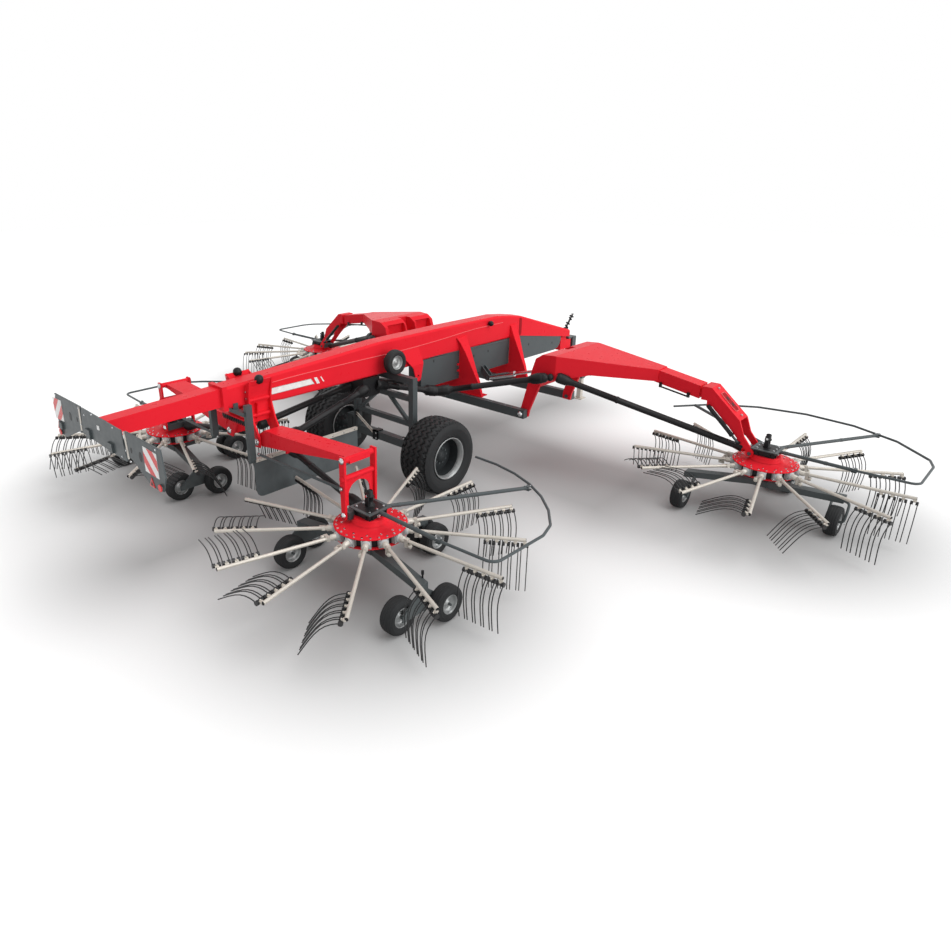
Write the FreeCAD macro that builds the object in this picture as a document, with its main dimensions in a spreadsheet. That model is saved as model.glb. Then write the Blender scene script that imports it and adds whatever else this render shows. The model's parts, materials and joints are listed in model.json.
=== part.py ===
"""Four-rotor rotary rake in its working position, as a FreeCAD document of named sub-parts.

X points forward to the tractor, Y to the left and Z up, in millimetres. Stations are measured from
the main axle, and every finished sub-part is shifted along X so that the origin lies on the ground
under the middle of the machine. Left-hand pieces are modelled and right-hand pieces mirror them.
"""
import FreeCAD, Part
import Sketcher
import math
import os
import re

doc = FreeCAD.newDocument("RotaryRake")
sheet = doc.addObject("Spreadsheet::Sheet", "Sizes")

SIZES = [
    # alias, value, meaning
    ("rear_end", -4036, "rear face of the light board"),
    ("front_end", 5280, "front tip of the drive stub"),
    ("fit", 0.3, "clearance of pins in their bores"),
    ("glide", 0.5, "clearance of sliding tubes"),
    # main beam
    ("beam_half", 140, "half width of the main beam"),
    ("tail_half", 100, "half width of the slim rear section"),
    ("tail_rear", -3986, "rear end of the slim section"),
    ("tail_rear_top", 1785, "top of the slim section at its rear end"),
    ("tail_rear_low", 1600, "underside of the slim section at its rear end"),
    ("tail_front_top", 1848, "top of the slim section at the collar"),
    ("tail_front_low", 1630, "underside of the slim section at the collar"),
    ("collar_x", -2690, "station where slim section and collar meet"),
    ("collar_length", 60, "length of the collar"),
    ("collar_lip", 14, "step of the collar around the slim section"),
    ("beam_rear_low", 1600, "underside of the main section at the collar"),
    ("beam_rear_top", 1862, "top of the main section at the collar"),
    ("beam_round", 36, "radius of the main beam's upper edges"),
    ("rise_x", -1220, "station of the bend in the rising top"),
    ("rise_top", 1940, "height of the bend in the rising top"),
    ("crest_start", -230, "station where the rising top becomes level"),
    ("crest_middle", 1150, "station of the highest point of the top"),
    ("crest_end", 2470, "station where the level top starts to fall"),
    ("crest_top", 2015, "height of the highest point of the top"),
    ("crest_rise", 12, "rise of the top from the crest's start to its middle"),
    ("shoulder_x", 2830, "station of the shoulder in the falling top"),
    ("shoulder_top", 1970, "height of the shoulder in the falling top"),
    ("arch_x", 3140, "station of the bend in the falling top"),
    ("arch_top", 1922, "height of the bend in the falling top"),
    ("nose_x", 4740, "front end of the main beam"),
    ("nose_top", 1450, "top of the nose"),
    ("nose_low", 1320, "underside of the nose"),
    ("low_start", -1850, "station where the underside becomes level"),
    ("beam_low", 1540, "height of the level underside"),
    ("sill_step", 60, "length of the step between underside and channel"),
    ("sill_rear", 620, "rear end of the side channel"),
    ("sill_front", 3100, "station where the beam's lower edge starts to fall"),
    ("sill_top", 1585, "lower edge of the beam above the channel"),
    ("channel_low", 1140, "underside of the side channel"),
    ("channel_front", 4450, "front end of the side channel"),
    ("channel_half", 128, "half width of the side channel"),
    ("lug_root", 180, "length of the swivel lug under the nose"),
    ("bracket_rear", 230, "rear end of the folded side bracket"),
    ("bracket_front", 605, "front end of the folded side bracket"),
    ("bracket_top", 1820, "top of the folded side bracket"),
    ("bracket_bend", 1560, "height of the fold in the side bracket"),
    ("bracket_low", 1310, "lower end of the side bracket's tongue"),
    ("bracket_y", 205, "outer face of the bracket's tongue, from the centre"),
    ("bracket_hole_x", 492, "hole in the bracket's tongue, station"),
    ("bracket_hole_z", 1395, "hole in the bracket's tongue, height"),
    # gussets and transverse beams
    ("gusset_rear", 1500, "station of the rear gussets"),
    ("gusset_front", 2815, "station of the front gussets"),
    ("gusset_wall", 20, "thickness of the gusset webs"),
    ("gusset_top", 1805, "upper end of the gussets"),
    ("gusset_rear_foot", 605, "half span of the rear gusset at its foot"),
    ("gusset_front_foot", 535, "half span of the front gusset at its foot"),
    ("flange_back", 95, "reach of the rear gussets' flange behind its web at the top"),
    ("flange_head", 145, "reach of a gusset flange ahead of its web at the top"),
    ("flange_foot", 30, "reach of a gusset flange ahead of its web at the foot"),
    ("flange_wall", 16, "thickness of the gusset flanges"),
    ("cross_half", 1480, "half length of the transverse beams"),
    ("cross_top", 925, "top of the transverse beams"),
    ("cross_depth", 130, "height of the transverse beams"),
    ("cross_width", 90, "width of the transverse beams"),
    ("fold_y", 1420, "fold axis of the front arms, distance from the centre"),
    ("fold_z", 860, "height of the front fold axis"),
    ("fold_pin", 28, "radius of the front fold pins"),
    ("leg_wall", 40, "thickness of the front arm's legs"),
    ("leg_gap", 10, "room between a leg and its transverse beam"),
    # front arms
    ("root_top", 1800, "top of the front arm at its root"),
    ("root_inner", 1525, "inner end of the front arm's root"),
    ("pocket_reach", 240, "depth of the open pockets in the arm's root"),
    ("pocket_height", 250, "height of the open pockets in the arm's root"),
    ("arm_end_y", 3050, "outer end of the wide arm section"),
    ("arm_end_top", 1665, "top of the wide section at its outer end"),
    ("arm_end_low", 1500, "underside of the wide section at its outer end"),
    ("housing_end", 3640, "outer end of the telescope housing"),
    ("housing_half", 118, "half width of the telescope housing"),
    ("housing_depth", 176, "height of the telescope housing"),
    ("slide_slope", 0.17, "fall of the telescope per unit of reach"),
    ("slide_z", 1575, "height of the telescope's centre line at reach 3000"),
    ("tube_half", 85, "half width of the inner tube"),
    ("tube_depth", 130, "height of the inner tube"),
    ("tube_inner", 2700, "inner end of the inner tube at rest"),
    ("corridor_half", 105, "half width of the cylinder's corridor through the root"),
    ("cylinder_x", 2125, "station of the lift cylinders"),
    ("barrel_y", 250, "barrel pins, distance from the centre"),
    ("barrel_z", 1055, "height of the barrel pins"),
    ("barrel_pin", 20, "radius of the barrel pins"),
    ("barrel_radius", 42, "outer radius of the barrels"),
    ("barrel_wall", 9, "wall of the barrels"),
    ("barrel_end", 545, "open end of a barrel, from its pin"),
    ("lift_rod", 24, "radius of the lift rods"),
    ("eye_y", 1455, "rod eyes, distance from the centre"),
    ("eye_z", 1420, "height of the rod eyes"),
    ("eye_half", 28, "half width of a cylinder's eyes"),
    ("eye_radius", 42, "radius of a cylinder's eyes"),
    ("ear_gap", 34, "half gap between the ears of a cylinder"),
    ("ear_wall", 16, "thickness of the ears"),
    ("lift_stroke", 400, "stroke of the lift cylinders"),
    # rotors
    ("front_hub_x", 2443, "front rotor hubs, station"),
    ("front_hub_y", 4564, "front rotor hubs, distance from the centre"),
    ("rear_hub_x", -2232, "rear rotor hubs, station"),
    ("rear_hub_y", 2121, "rear rotor hubs, distance from the centre"),
    ("arm_z", 650, "height of the tine arms' centre line"),
    ("arm_tip", 1636, "radius of the tine arms' tips"),
    ("arm_tube", 19, "radius of a tine arm's tube"),
    ("arm_count", 13, "tine arms on each rotor"),
    ("first_arm", -26.6, "bearing of the first tine arm"),
    ("disc_radius", 390, "radius of the rotor's upper disc"),
    ("disc_edge", 706, "height of the upper disc's rim"),
    ("disc_wall", 8, "thickness of the rotor's discs"),
    ("neck_radius", 190, "radius of the rotor's raised neck"),
    ("neck_top", 742, "top of the rotor's neck"),
    ("ring_low", 586, "underside of the rotor's lower ring"),
    ("spindle", 72, "radius of the fixed spindle"),
    ("knuckle_half", 34, "half width of an arm's bearing housing"),
    ("tine_wire", 9, "thickness of a tine"),
    ("tine_length", 552, "drop of a tine below its arm"),
    ("coil_radius", 23, "radius of a tine's coil"),
    ("coil_length", 38, "length of a tine's coil"),
    ("coil_drop", 52, "distance of the coils from the arm's centre line"),
    ("rear_lugs", 5, "double tines on an arm of the rear rotors"),
    ("rear_first_lug", 1242, "radius of the first lug on the rear rotors"),
    ("rear_lug_pitch", 95, "pitch of the lugs on the rear rotors"),
    ("front_lugs", 4, "double tines on an arm of the front rotors"),
    ("front_first_lug", 1290, "radius of the first lug on the front rotors"),
    ("front_lug_pitch", 110, "pitch of the lugs on the front rotors"),
    # rotor heads and undercarriages
    ("head_low", 750, "underside of the gear head"),
    ("head_top", 880, "top of the gear head"),
    ("head_half", 120, "half length of the gear head"),
    ("pin_offset", 170, "distance of the head's hinge pin from the hub, inboard"),
    ("pin_z", 800, "height of the head's hinge pin"),
    ("crank", 30, "radius of the height adjuster"),
    ("head_pin", 24, "radius of the head's hinge pin"),
    ("front_fork_half", 128, "half spread of the front forks"),
    ("rear_fork_half", 212, "half spread of the rear forks"),
    ("fork_wall", 26, "thickness of a fork's cheeks"),
    ("chassis_z", 425, "height of the undercarriage beams"),
    ("chassis_depth", 80, "height of an undercarriage beam's section"),
    ("castor_radius", 190, "radius of the castor wheels"),
    ("castor_width", 150, "width of the castor wheels"),
    ("castor_axle", 14, "radius of the castor axles"),
    ("tandem_rear_x", -450, "rear wheel of a tandem, ahead of the hub"),
    ("tandem_rear_y", 864, "rear wheel of a tandem, beside the hub"),
    ("tandem_front_x", 30, "front wheel of a tandem, ahead of the hub"),
    ("tandem_front_y", 1046, "front wheel of a tandem, beside the hub"),
    ("rocker_wall", 18, "thickness of the tandem rockers"),
    ("twin_x", 890, "front twin wheel, ahead of the hub"),
    ("twin_gap", 60, "gap between the twin tyres"),
    ("side_in_x", -610, "inner castor of the front rotors, ahead of the hub"),
    ("side_in_y", 790, "inner castor of the front rotors, beside the hub"),
    ("side_out_x", -50, "outer castor of the front rotors, ahead of the hub"),
    ("side_out_y", 900, "outer castor of the front rotors, beside the hub"),
    # guards
    ("guard_z", 872, "height of the guard hoops"),
    ("guard_tube", 15, "radius of the guard tube"),
    ("guard_bar", 22, "radius of the guard's carrier bars"),
    ("guard_radius", 1865, "radius of the guard hoop"),
    ("guard_side", 1630, "reach of the guard beside the rotor"),
    # rear arms
    ("rear_pin_y", 300, "fold axis of the rear arms, distance from the centre"),
    ("rear_pin_z", 1170, "height of the rear fold axis"),
    ("rear_pin", 26, "radius of the rear fold pins"),
    ("rear_root_half", 125, "half width of the rear arm at its root"),
    ("bracket_wall", 20, "thickness of the rear bracket plates"),
    # running gear
    ("tyre_radius", 530, "radius of the main tyres"),
    ("tyre_width", 500, "width of the main tyres"),
    ("rim_radius", 285, "radius of the main rims"),
    ("track_half", 1060, "half of the main track"),
    ("stub_axle", 38, "radius of the stub axles"),
    ("kingpin_y", 722, "kingpins, distance from the centre"),
    ("kingpin", 32, "radius of the kingpins"),
    ("post_y", 590, "portal posts, distance from the centre"),
    ("post_size", 90, "section of the portal posts"),
    ("portal_x", -20, "station of the portal"),
    # front end
    ("swivel_x", 4900, "drawbar swivel, station"),
    ("swivel_pin", 30, "radius of the swivel pin"),
    ("hitch_z", 560, "height of the lower link pins"),
    ("hitch_half", 400, "half length of the cross shaft between the pins"),
    ("link_pin", 18.3, "radius of the lower link pins"),
    ("link_length", 95, "length of a lower link pin"),
    ("stub_z", 800, "height of the drive stub"),
    ("stub_radius", 17.5, "radius of the drive stub"),
    ("stub_length", 90, "length of the drive stub"),
    ("lug_low", 1065, "underside of the beam's swivel lug"),
    ("lug_top", 1235, "top of the beam's swivel lug"),
    ("lug_half", 62, "half width of the swivel lug"),
    ("fork_plate", 30, "thickness of the headstock's swivel plates"),
    ("column_x", 4985, "rear face of the headstock's column"),
    ("column_depth", 120, "depth of the headstock's column along the machine"),
    ("root_shoulder_y", 1880, "outer end of the arm root's flat top"),
    ("root_crown_y", 1680, "inner end of the arm root's flat top"),
    ("root_brow_y", 1570, "break of the arm root's inner slope"),
    ("arm_belly_y", 2300, "break in the arm's underside"),
    ("arm_belly_z", 1545, "height of the break in the arm's underside"),
    ("arm_taper_y", 1900, "where the arm starts to narrow"),
    ("arm_end_half", 130, "half width of the arm at its outer end"),
    ("leg_corner", 540, "height of the arm legs over the fold pin"),
    ("housing_inner", 2900, "inner end of the telescope's housing"),
    ("corridor_height", 1100, "height of the slot for the lift cylinder"),
    ("corridor_reach", 480, "reach of the slot for the lift cylinder"),
    ("slider_end", 3750, "outer end of the telescope's inner tube"),
    ("fork_root_y", 3680, "inner face of the front fork's block"),
    ("fork_root_z", 1380, "underside of the front fork's block"),
    ("fork_root_high", 1562, "top of the front fork's block"),
    ("fork_knee_y", 3760, "underside of the front fork, inner knee"),
    ("fork_elbow_y", 4090, "underside of the front fork, outer knee"),
    ("fork_elbow_z", 1090, "height of the front fork's outer knee"),
    ("fork_back_y", 4290, "outer edge of the front fork, lower"),
    ("fork_back_z", 1010, "height of the outer edge's lower point"),
    ("fork_shoulder_y", 4215, "outer edge of the front fork, upper"),
    ("fork_shoulder_z", 1200, "height of the outer edge's upper point"),
    ("fork_brow_y", 3800, "outer end of the front fork's flat top"),
    ("rear_belly_y", 1900, "break in the rear arm's underside"),
    ("rear_belly_z", 1375, "underside of the rear arm at its outer end"),
    ("rear_end_y", 1985, "outer end of the rear arm"),
    ("rear_end_top", 1440, "top of the rear arm at its outer end"),
    ("rear_crown_y", 420, "inner end of the rear arm's top"),
    ("rear_crown_z", 1335, "top of the rear arm at its inner end"),
    ("rear_fork_high", 1460, "top of the rear fork's cheeks"),
    ("rear_fork_waist", 1150, "height where the rear fork's cheeks narrow"),
    ("rear_tube_high", 1418, "height of the rear fork's upper cross tube"),
    ("rear_tube_low", 1215, "height of the rear fork's lower cross tube"),
    ("wing_low", 1560, "lower end of the rear bracket's saddle on the beam"),
    ("wing_high", 1840, "upper end of the rear bracket's saddle on the beam"),
    ("wing_tip", 1905, "top of the rear bracket's wings"),
    ("wing_waist", 1700, "height of the bracket's waist"),
    ("wing_heel", 1580, "lower end of the bracket's waist"),
    ("wing_hip", 1400, "height where the bracket turns down to its pin"),
    ("wing_crotch", 1330, "height of the bracket's inner corner"),
    ("wing_sole", 1538, "underside of the beam between the brackets"),
    ("bracket_tube_z", 1650, "height of the cross tubes between the rear brackets"),
    ("jack_x", 5168, "parking jack, station"),
    ("jack_y", -215, "parking jack, left of the centre"),
    ("jack_low", 430, "lower end of the jack's fixed tube"),
    ("jack_high", 1010, "upper end of the jack's fixed tube"),
    ("jack_lift", 400, "travel of the jack's leg"),
    ("jack_outer", 60, "half section of the jack's fixed tube"),
    ("jack_inner", 44, "half section of the jack's leg"),
    ("jack_foot", 95, "half width of the jack's foot"),
    # board, curtain and small pieces
    ("lamp_depth", 22, "depth of the lamps and reflectors"),
    ("board_wall", 14, "thickness of the light board"),
    ("board_top", 1815, "top of the light board"),
    ("lamp_half", 52, "half side of the square lamps"),
    ("curtain_y", -350, "swath curtain, left of the centre"),
    ("curtain_rear", -2545, "rear end of the swath curtain"),
    ("curtain_front", -860, "front end of the swath curtain"),
    ("curtain_top", 950, "top edge of the swath curtain"),
    ("curtain_low", 480, "lower edge of the swath curtain"),
    ("curtain_round", 110, "radius of the curtain's lower rear corner"),
    ("curtain_wall", 8, "thickness of the swath curtain"),
    ("spare_x", -110, "spare wheel, station"),
    ("spare_y", -330, "spare wheel, left of the centre"),
    ("spare_z", 1735, "spare wheel, height"),
    ("spare_radius", 175, "radius of the spare wheel"),
    ("spare_width", 120, "width of the spare wheel"),
    ("shaft_radius", 42, "radius of a drive shaft's guard"),
    ("joint_radius", 72, "radius of a drive shaft's joint guard"),
]

ALIASES = {alias for alias, _, _ in SIZES}
TINE_TURN = [0, 0, 0, 0, 0, 4, 42, 68, 88, 70, 33, 0, 0]
"""Turn of each tine arm about its own axis, in degrees, as the cam holds it at this moment."""


def fill_sheet():
    """Write every driving size into the sheet."""
    for row, (alias, number, meaning) in enumerate(SIZES, start=1):
        sheet.set("A%d" % row, meaning)
        sheet.set("B%d" % row, str(number))
        sheet.setAlias("B%d" % row, alias)
    doc.recompute()


def link(text):
    """Return an expression in which every alias names its cell."""
    return re.sub(r"[a-z][a-z_]+", lambda m: "Sizes." + m.group() if m.group() in ALIASES else m.group(),
        text)


def size(text):
    """Return the number that a size or an expression of sizes has now."""
    return float(sheet.evalExpression(link(text)))


def vec(x, y, z):
    """Return a vector whose coordinates are numbers or expressions of sizes."""
    return FreeCAD.Vector(*[size(v) if isinstance(v, str) else v for v in (x, y, z)])


def outline_body(name, plane, corners, start, depth):
    """Pad a closed outline, given as pairs of expressions, from start along the plane's normal."""
    body = doc.addObject("PartDesign::Body", name)
    sketch = body.newObject("Sketcher::SketchObject", name + "_outline")
    base = [feature for feature in body.Origin.OriginFeatures if feature.Role == plane][0]
    sketch.AttachmentSupport = [(base, "")]
    sketch.MapMode = "FlatFace"
    sketch.setExpression("AttachmentOffset.Base.z", link(start))
    spots = [FreeCAD.Vector(size(h), size(v), 0) for h, v in corners]
    count = len(spots)
    for i in range(count):
        sketch.addGeometry(Part.LineSegment(spots[i], spots[(i + 1) % count]))
    for i in range(count):
        sketch.addConstraint(Sketcher.Constraint("Coincident", i, 2, (i + 1) % count, 1))
    for i, (across, along) in enumerate(corners):
        number = sketch.addConstraint(Sketcher.Constraint("DistanceX", -1, 1, i, 1, spots[i].x))
        sketch.setExpression("Constraints[%d]" % number, link(across))
        number = sketch.addConstraint(Sketcher.Constraint("DistanceY", -1, 1, i, 1, spots[i].y))
        sketch.setExpression("Constraints[%d]" % number, link(along))
    pad = body.newObject("PartDesign::Pad", name + "_pad")
    pad.Profile = sketch
    pad.setExpression("Length", link(depth))
    return body


def box(name, low, sizes):
    """Make a Part::Box from its low corner and its three lengths, all expressions."""
    solid = doc.addObject("Part::Box", name)
    for side, text in zip(("Length", "Width", "Height"), sizes):
        solid.setExpression(side, link(text))
    for axis, text in zip("xyz", low):
        solid.setExpression("Placement.Base." + axis, link(text))
    return solid


def cylinder(name, foot, direction, radius, length):
    """Make a Part::Cylinder that stands on its foot along X, Y or Z."""
    solid = doc.addObject("Part::Cylinder", name)
    solid.setExpression("Radius", link(radius))
    solid.setExpression("Height", link(length))
    turns = {"X": (FreeCAD.Vector(0, 1, 0), 90), "Y": (FreeCAD.Vector(1, 0, 0), -90),
        "Z": (FreeCAD.Vector(0, 0, 1), 0)}
    solid.Placement = FreeCAD.Placement(FreeCAD.Vector(), FreeCAD.Rotation(*turns[direction]))
    for axis, text in zip("xyz", foot):
        solid.setExpression("Placement.Base." + axis, link(text))
    return solid


def fused(name, pieces):
    """Fuse several pieces into one object."""
    whole = doc.addObject("Part::MultiFuse", name)
    whole.Shapes = pieces
    return whole


def cut(name, base, tool):
    """Cut a tool out of a base."""
    rest = doc.addObject("Part::Cut", name)
    rest.Base = base
    rest.Tool = tool
    return rest


def mirrored(name, source):
    """Mirror a piece to the other side of the machine."""
    other = doc.addObject("Part::Mirroring", name)
    other.Source = source
    other.Normal = (0, 1, 0)
    return other


def eased(name, base, radius, rule):
    """Round every edge of a piece that the rule picks."""
    doc.recompute()
    piece = doc.addObject("Part::Fillet", name)
    piece.Base = base
    chosen = [number for number, edge in enumerate(base.Shape.Edges, start=1) if rule(edge)]
    piece.Edges = [(number, radius, radius) for number in chosen]
    return piece


def top_edge(edge):
    """Tell whether an edge runs along the top of the main beam at one of its sides."""
    first, last = edge.Vertexes[0].Point, edge.Vertexes[-1].Point
    beside = abs(abs(first.y) - size("beam_half")) < 1 and abs(first.y - last.y) < 1
    return beside and min(first.z, last.z) > size("nose_top") - 1 and abs(first.x - last.x) > 1


def free_shape(name, shape):
    """Hold a shape made with Part's own functions."""
    feature = doc.addObject("Part::Feature", name)
    feature.Shape = shape
    return feature


FINISHED = []


def finish(piece, label):
    """Name a sub-part and shift it so that the origin lies under the machine's middle."""
    doc.recompute()
    piece.Label = label
    piece.setExpression("Placement.Base.x", link("-(rear_end + front_end) / 2"))
    FINISHED.append(piece)
    return piece


def finish_pair(piece, stem):
    """Finish a left-hand sub-part and its mirrored right-hand twin."""
    finish(piece, stem + "_left")
    twin = mirrored(stem.title().replace("_", "") + "Right", piece)
    twin.Label = stem + "_right"
    FINISHED.append(twin)
    return twin


def rod(start, end, radius):
    """Return a cylinder from one point to another."""
    way = end.sub(start)
    return Part.makeCylinder(radius, way.Length, start, way)


def moved(shape, offset):
    """Return a copy of a shape, shifted in its own coordinates."""
    matrix = FreeCAD.Matrix()
    matrix.move(offset)
    return shape.transformed(matrix, True)


def bent_tube(points, bend, radius):
    """Return a tube along straight runs joined by tangent arcs of one bend radius."""
    edges = []
    start = points[0]
    for before, corner, after in zip(points, points[1:], points[2:]):
        into = before.sub(corner).normalize()
        out = after.sub(corner).normalize()
        half_turn = into.getAngle(out) / 2
        setback = bend / math.tan(half_turn)
        first = corner + into * setback
        last = corner + out * setback
        middle_way = (into + out).normalize()
        middle = corner + middle_way * (bend / math.sin(half_turn) - bend)
        edges.append(Part.makeLine(start, first))
        edges.append(Part.Arc(first, middle, last).toShape())
        start = last
    edges.append(Part.makeLine(start, points[-1]))
    path = Part.Wire(edges)
    ring = Part.Wire(Part.makeCircle(radius, points[0], points[1].sub(points[0])))
    return path.makePipeShell([ring], True, True)


def turned(profile, centre, axis):
    """Return the solid made by turning a closed profile of (along, radius) pairs about an axis."""
    side = FreeCAD.Vector(0, 0, 1) if abs(axis.z) < 0.5 else FreeCAD.Vector(1, 0, 0)
    spots = [centre + axis * along + side * radius for along, radius in profile]
    face = Part.Face(Part.makePolygon(spots + spots[:1]))
    return face.revolve(centre, axis, 360)


def wheel_shape(centre, radius, width, rim, bore):
    """Return a tyre on its rim, turned about Y: rounded tread, bulged wall and dished disc."""
    half = width / 2
    profile = [
        (-half * 0.40, bore), (-half * 0.40, rim * 0.45), (-half * 0.15, rim * 0.55), (-half * 0.15,
        rim * 0.80),
        (-half * 0.80, rim * 0.92), (-half * 0.86, rim * 1.02), (-half, (rim + radius) / 2),
        (-half * 0.94, radius * 0.93),
        (-half * 0.72, radius), (half * 0.72, radius), (half * 0.94, radius * 0.93), (half,
        (rim + radius) / 2),
        (half * 0.86, rim * 1.02), (half * 0.80, rim * 0.92), (half * 0.30, rim * 0.80), (half * 0.30,
        rim * 0.50),
        (half * 0.45, rim * 0.40), (half * 0.45, bore),
    ]
    return turned(profile, centre, FreeCAD.Vector(0, 1, 0))


# ---------------------------------------------------------------- frame

def make_main_beam():
    """The welded main beam: slim tail, collar, arched box, folded side bracket and swivel lug."""
    tail = outline_body("Tail", "XZ_Plane", [
        ("tail_rear", "tail_rear_low"), ("collar_x", "tail_front_low"),
        ("collar_x", "tail_front_top"), ("tail_rear", "tail_rear_top")], "-tail_half", "2 * tail_half")
    collar = box("Collar", ("collar_x", "-beam_half - collar_lip", "beam_rear_low - collar_lip"),
                 ("collar_length", "2 * (beam_half + collar_lip)",
                 "beam_rear_top - beam_rear_low + 2 * collar_lip"))
    arch = outline_body("ArchedBox", "XZ_Plane", [
        ("collar_x + collar_length", "beam_rear_low"), ("low_start", "beam_low"),
        ("sill_rear - sill_step", "beam_low"),
        ("sill_rear", "sill_top"), ("sill_front", "sill_top"), ("nose_x", "nose_low"), ("nose_x",
        "nose_top"),
        ("arch_x", "arch_top"), ("shoulder_x", "shoulder_top"), ("crest_end", "crest_top - crest_rise / 2"),
        ("crest_middle", "crest_top"), ("crest_start", "crest_top - crest_rise"), ("rise_x", "rise_top"),
        ("collar_x + collar_length", "beam_rear_top")], "-beam_half", "2 * beam_half")
    rounded = eased("RoundedArch", arch, size("beam_round"), top_edge)
    lug_root = box("SwivelLugRoot", ("nose_x - lug_root", "-lug_half", "lug_top - 1"),
                   ("lug_root", "2 * lug_half", "nose_low - lug_top + 2"))
    lug = box("SwivelLugBlank", ("nose_x - lug_root", "-lug_half", "lug_low"),
              ("swivel_x - nose_x + lug_root", "2 * lug_half", "lug_top - lug_low"))
    lug_end = cylinder("SwivelLugEnd", ("swivel_x", "0", "lug_low"), "Z", "lug_half", "lug_top - lug_low")
    bore = cylinder("SwivelBore", ("swivel_x", "0", "lug_low - 50"), "Z", "swivel_pin + fit", "300")
    swivel_lug = cut("SwivelLug", fused("SwivelLugSolid", [lug_root, lug, lug_end]), bore)
    fold = outline_body("BracketFold", "YZ_Plane", [
        ("beam_half - 14", "bracket_top"), ("beam_half", "bracket_top"), ("bracket_y", "bracket_bend"),
        ("bracket_y", "bracket_low"), ("bracket_y - 14", "bracket_low"), ("bracket_y - 14",
        "bracket_bend - 3")],
        "bracket_rear", "bracket_front - bracket_rear")
    face = outline_body("BracketFace", "XZ_Plane", [
        ("bracket_rear", "bracket_top"), ("bracket_front - 60", "bracket_top"), ("bracket_front",
        "bracket_bend + 30"),
        ("bracket_front - 50", "bracket_low + 60"), ("bracket_hole_x + 45", "bracket_low + 12"),
        ("bracket_hole_x", "bracket_low"), ("bracket_hole_x - 45", "bracket_low + 25"),
        ("bracket_rear + 160", "bracket_bend - 40"), ("bracket_rear + 20", "bracket_bend + 120")],
        "-bracket_y - 10", "bracket_y + 10")
    plate = doc.addObject("Part::Common", "SideBracketBlank")
    plate.Base = fold
    plate.Tool = face
    hole = cylinder("BracketHole", ("bracket_hole_x", "-bracket_y - 50", "bracket_hole_z"), "Y", "16", "100")
    bracket = cut("SideBracket", mirrored("SideBracketSolid", plate), hole)
    finish(fused("MainBeam", [tail, collar, rounded, swivel_lug, bracket]), "main_beam")


def make_channel():
    """The grey box channel under the front half of the beam, with its rounded front end."""
    slope = "nose_low + (sill_top - nose_low) * (nose_x - channel_front) / (nose_x - sill_front)"
    trough = outline_body("SideChannel", "XZ_Plane", [
        ("sill_rear + 4", "channel_low"), ("channel_front - 200", "channel_low"),
        ("channel_front - 90", "channel_low + 30"), ("channel_front - 25", "channel_low + 90"),
        ("channel_front", "channel_low + 170"), ("channel_front", slope), ("sill_front", "sill_top"),
        ("sill_rear + 4", "sill_top")],
        "-channel_half", "2 * channel_half")
    pieces = [trough]
    for tag, low in (("Back", "cylinder_x - ear_gap - ear_wall"), ("Ahead", "cylinder_x + ear_gap")):
        ear = outline_body("LiftEar" + tag, "YZ_Plane", [
            ("channel_half - 20", "channel_low + 90"), ("channel_half - 20", "channel_low"),
            ("barrel_y - 20", "barrel_z - 45"),
            ("barrel_y + 45", "barrel_z - 45"), ("barrel_y + 45", "barrel_z + 45"), ("channel_half + 20",
            "channel_low + 90")],
            low, "ear_wall")
        pieces += [ear, mirrored("LiftEarRight" + tag, ear)]
    for tag, side in (("Left", ""), ("Right", "-")):
        pieces.append(cylinder("BarrelPin" + tag, ("cylinder_x - ear_gap - ear_wall - 12",
            side + "barrel_y", "barrel_z"), "X",
                               "barrel_pin", "2 * (ear_gap + ear_wall + 12)"))
    finish(fused("ChannelWithEars", pieces), "beam_channel")


def gusset(tag, station, spine, back):
    """Return one side's gusset flange: a bent plate that narrows from its head to its foot."""
    outer = [(across + " + flange_wall", height) for across, height in spine]
    bend = outline_body(tag + "FlangeBend", "YZ_Plane", spine + outer[::-1], station + " - flange_back - 5",
                        "flange_back + flange_head + 10")
    middle = "(gusset_top + cross_top) / 2"
    taper = outline_body(tag + "FlangeTaper", "XZ_Plane", [
        (station + " - " + back, "gusset_top + 5"), (station + " + flange_head", "gusset_top + 5"),
        (station + " + flange_head", "gusset_top - 170"), (station + " + flange_foot + 35",
        middle + " - 90"),
        (station + " + flange_foot", "cross_top"), (station + " - gusset_wall / 2", "cross_top"),
        (station + " - gusset_wall / 2", "gusset_top - 210"), (station + " - " + back + " * 0.35",
        "gusset_top - 90")],
        "-gusset_rear_foot - 40", "gusset_rear_foot + 40")
    flange = doc.addObject("Part::Common", tag + "Flange")
    flange.Base = bend
    flange.Tool = taper
    return flange


def make_gussets():
    """Two pairs of folded gussets that carry the transverse beams under the main beam."""
    pieces = []
    for tag, station, foot, back in (("Rear", "gusset_rear", "gusset_rear_foot", "flange_back"),
                                     ("Front", "gusset_front", "gusset_front_foot", "gusset_wall / 2")):
        spine = [("beam_half", "gusset_top"), ("beam_half + 22", "gusset_top - 60"), ("beam_half + 56",
            "gusset_top - 135"),
                 ("%s * 0.84" % foot, "cross_top + 240"), (foot, "cross_top")]
        other = [("-(%s)" % across, height) for across, height in reversed(spine)]
        pieces.append(outline_body(tag + "GussetWeb", "YZ_Plane", spine + other + [
            ("-beam_half", "channel_low"), ("beam_half", "channel_low")], station + " - gusset_wall / 2",
            "gusset_wall"))
        flange = gusset(tag, station, spine, back)
        pieces += [flange, mirrored(tag + "FlangeRight", flange)]
        pieces.append(box(tag + "GussetSole", (station + " - 30", "-" + foot, "cross_top"),
            ("flange_head + 30", "2 * " + foot, "14")))
    finish(fused("Gussets", pieces), "gussets")


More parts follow.
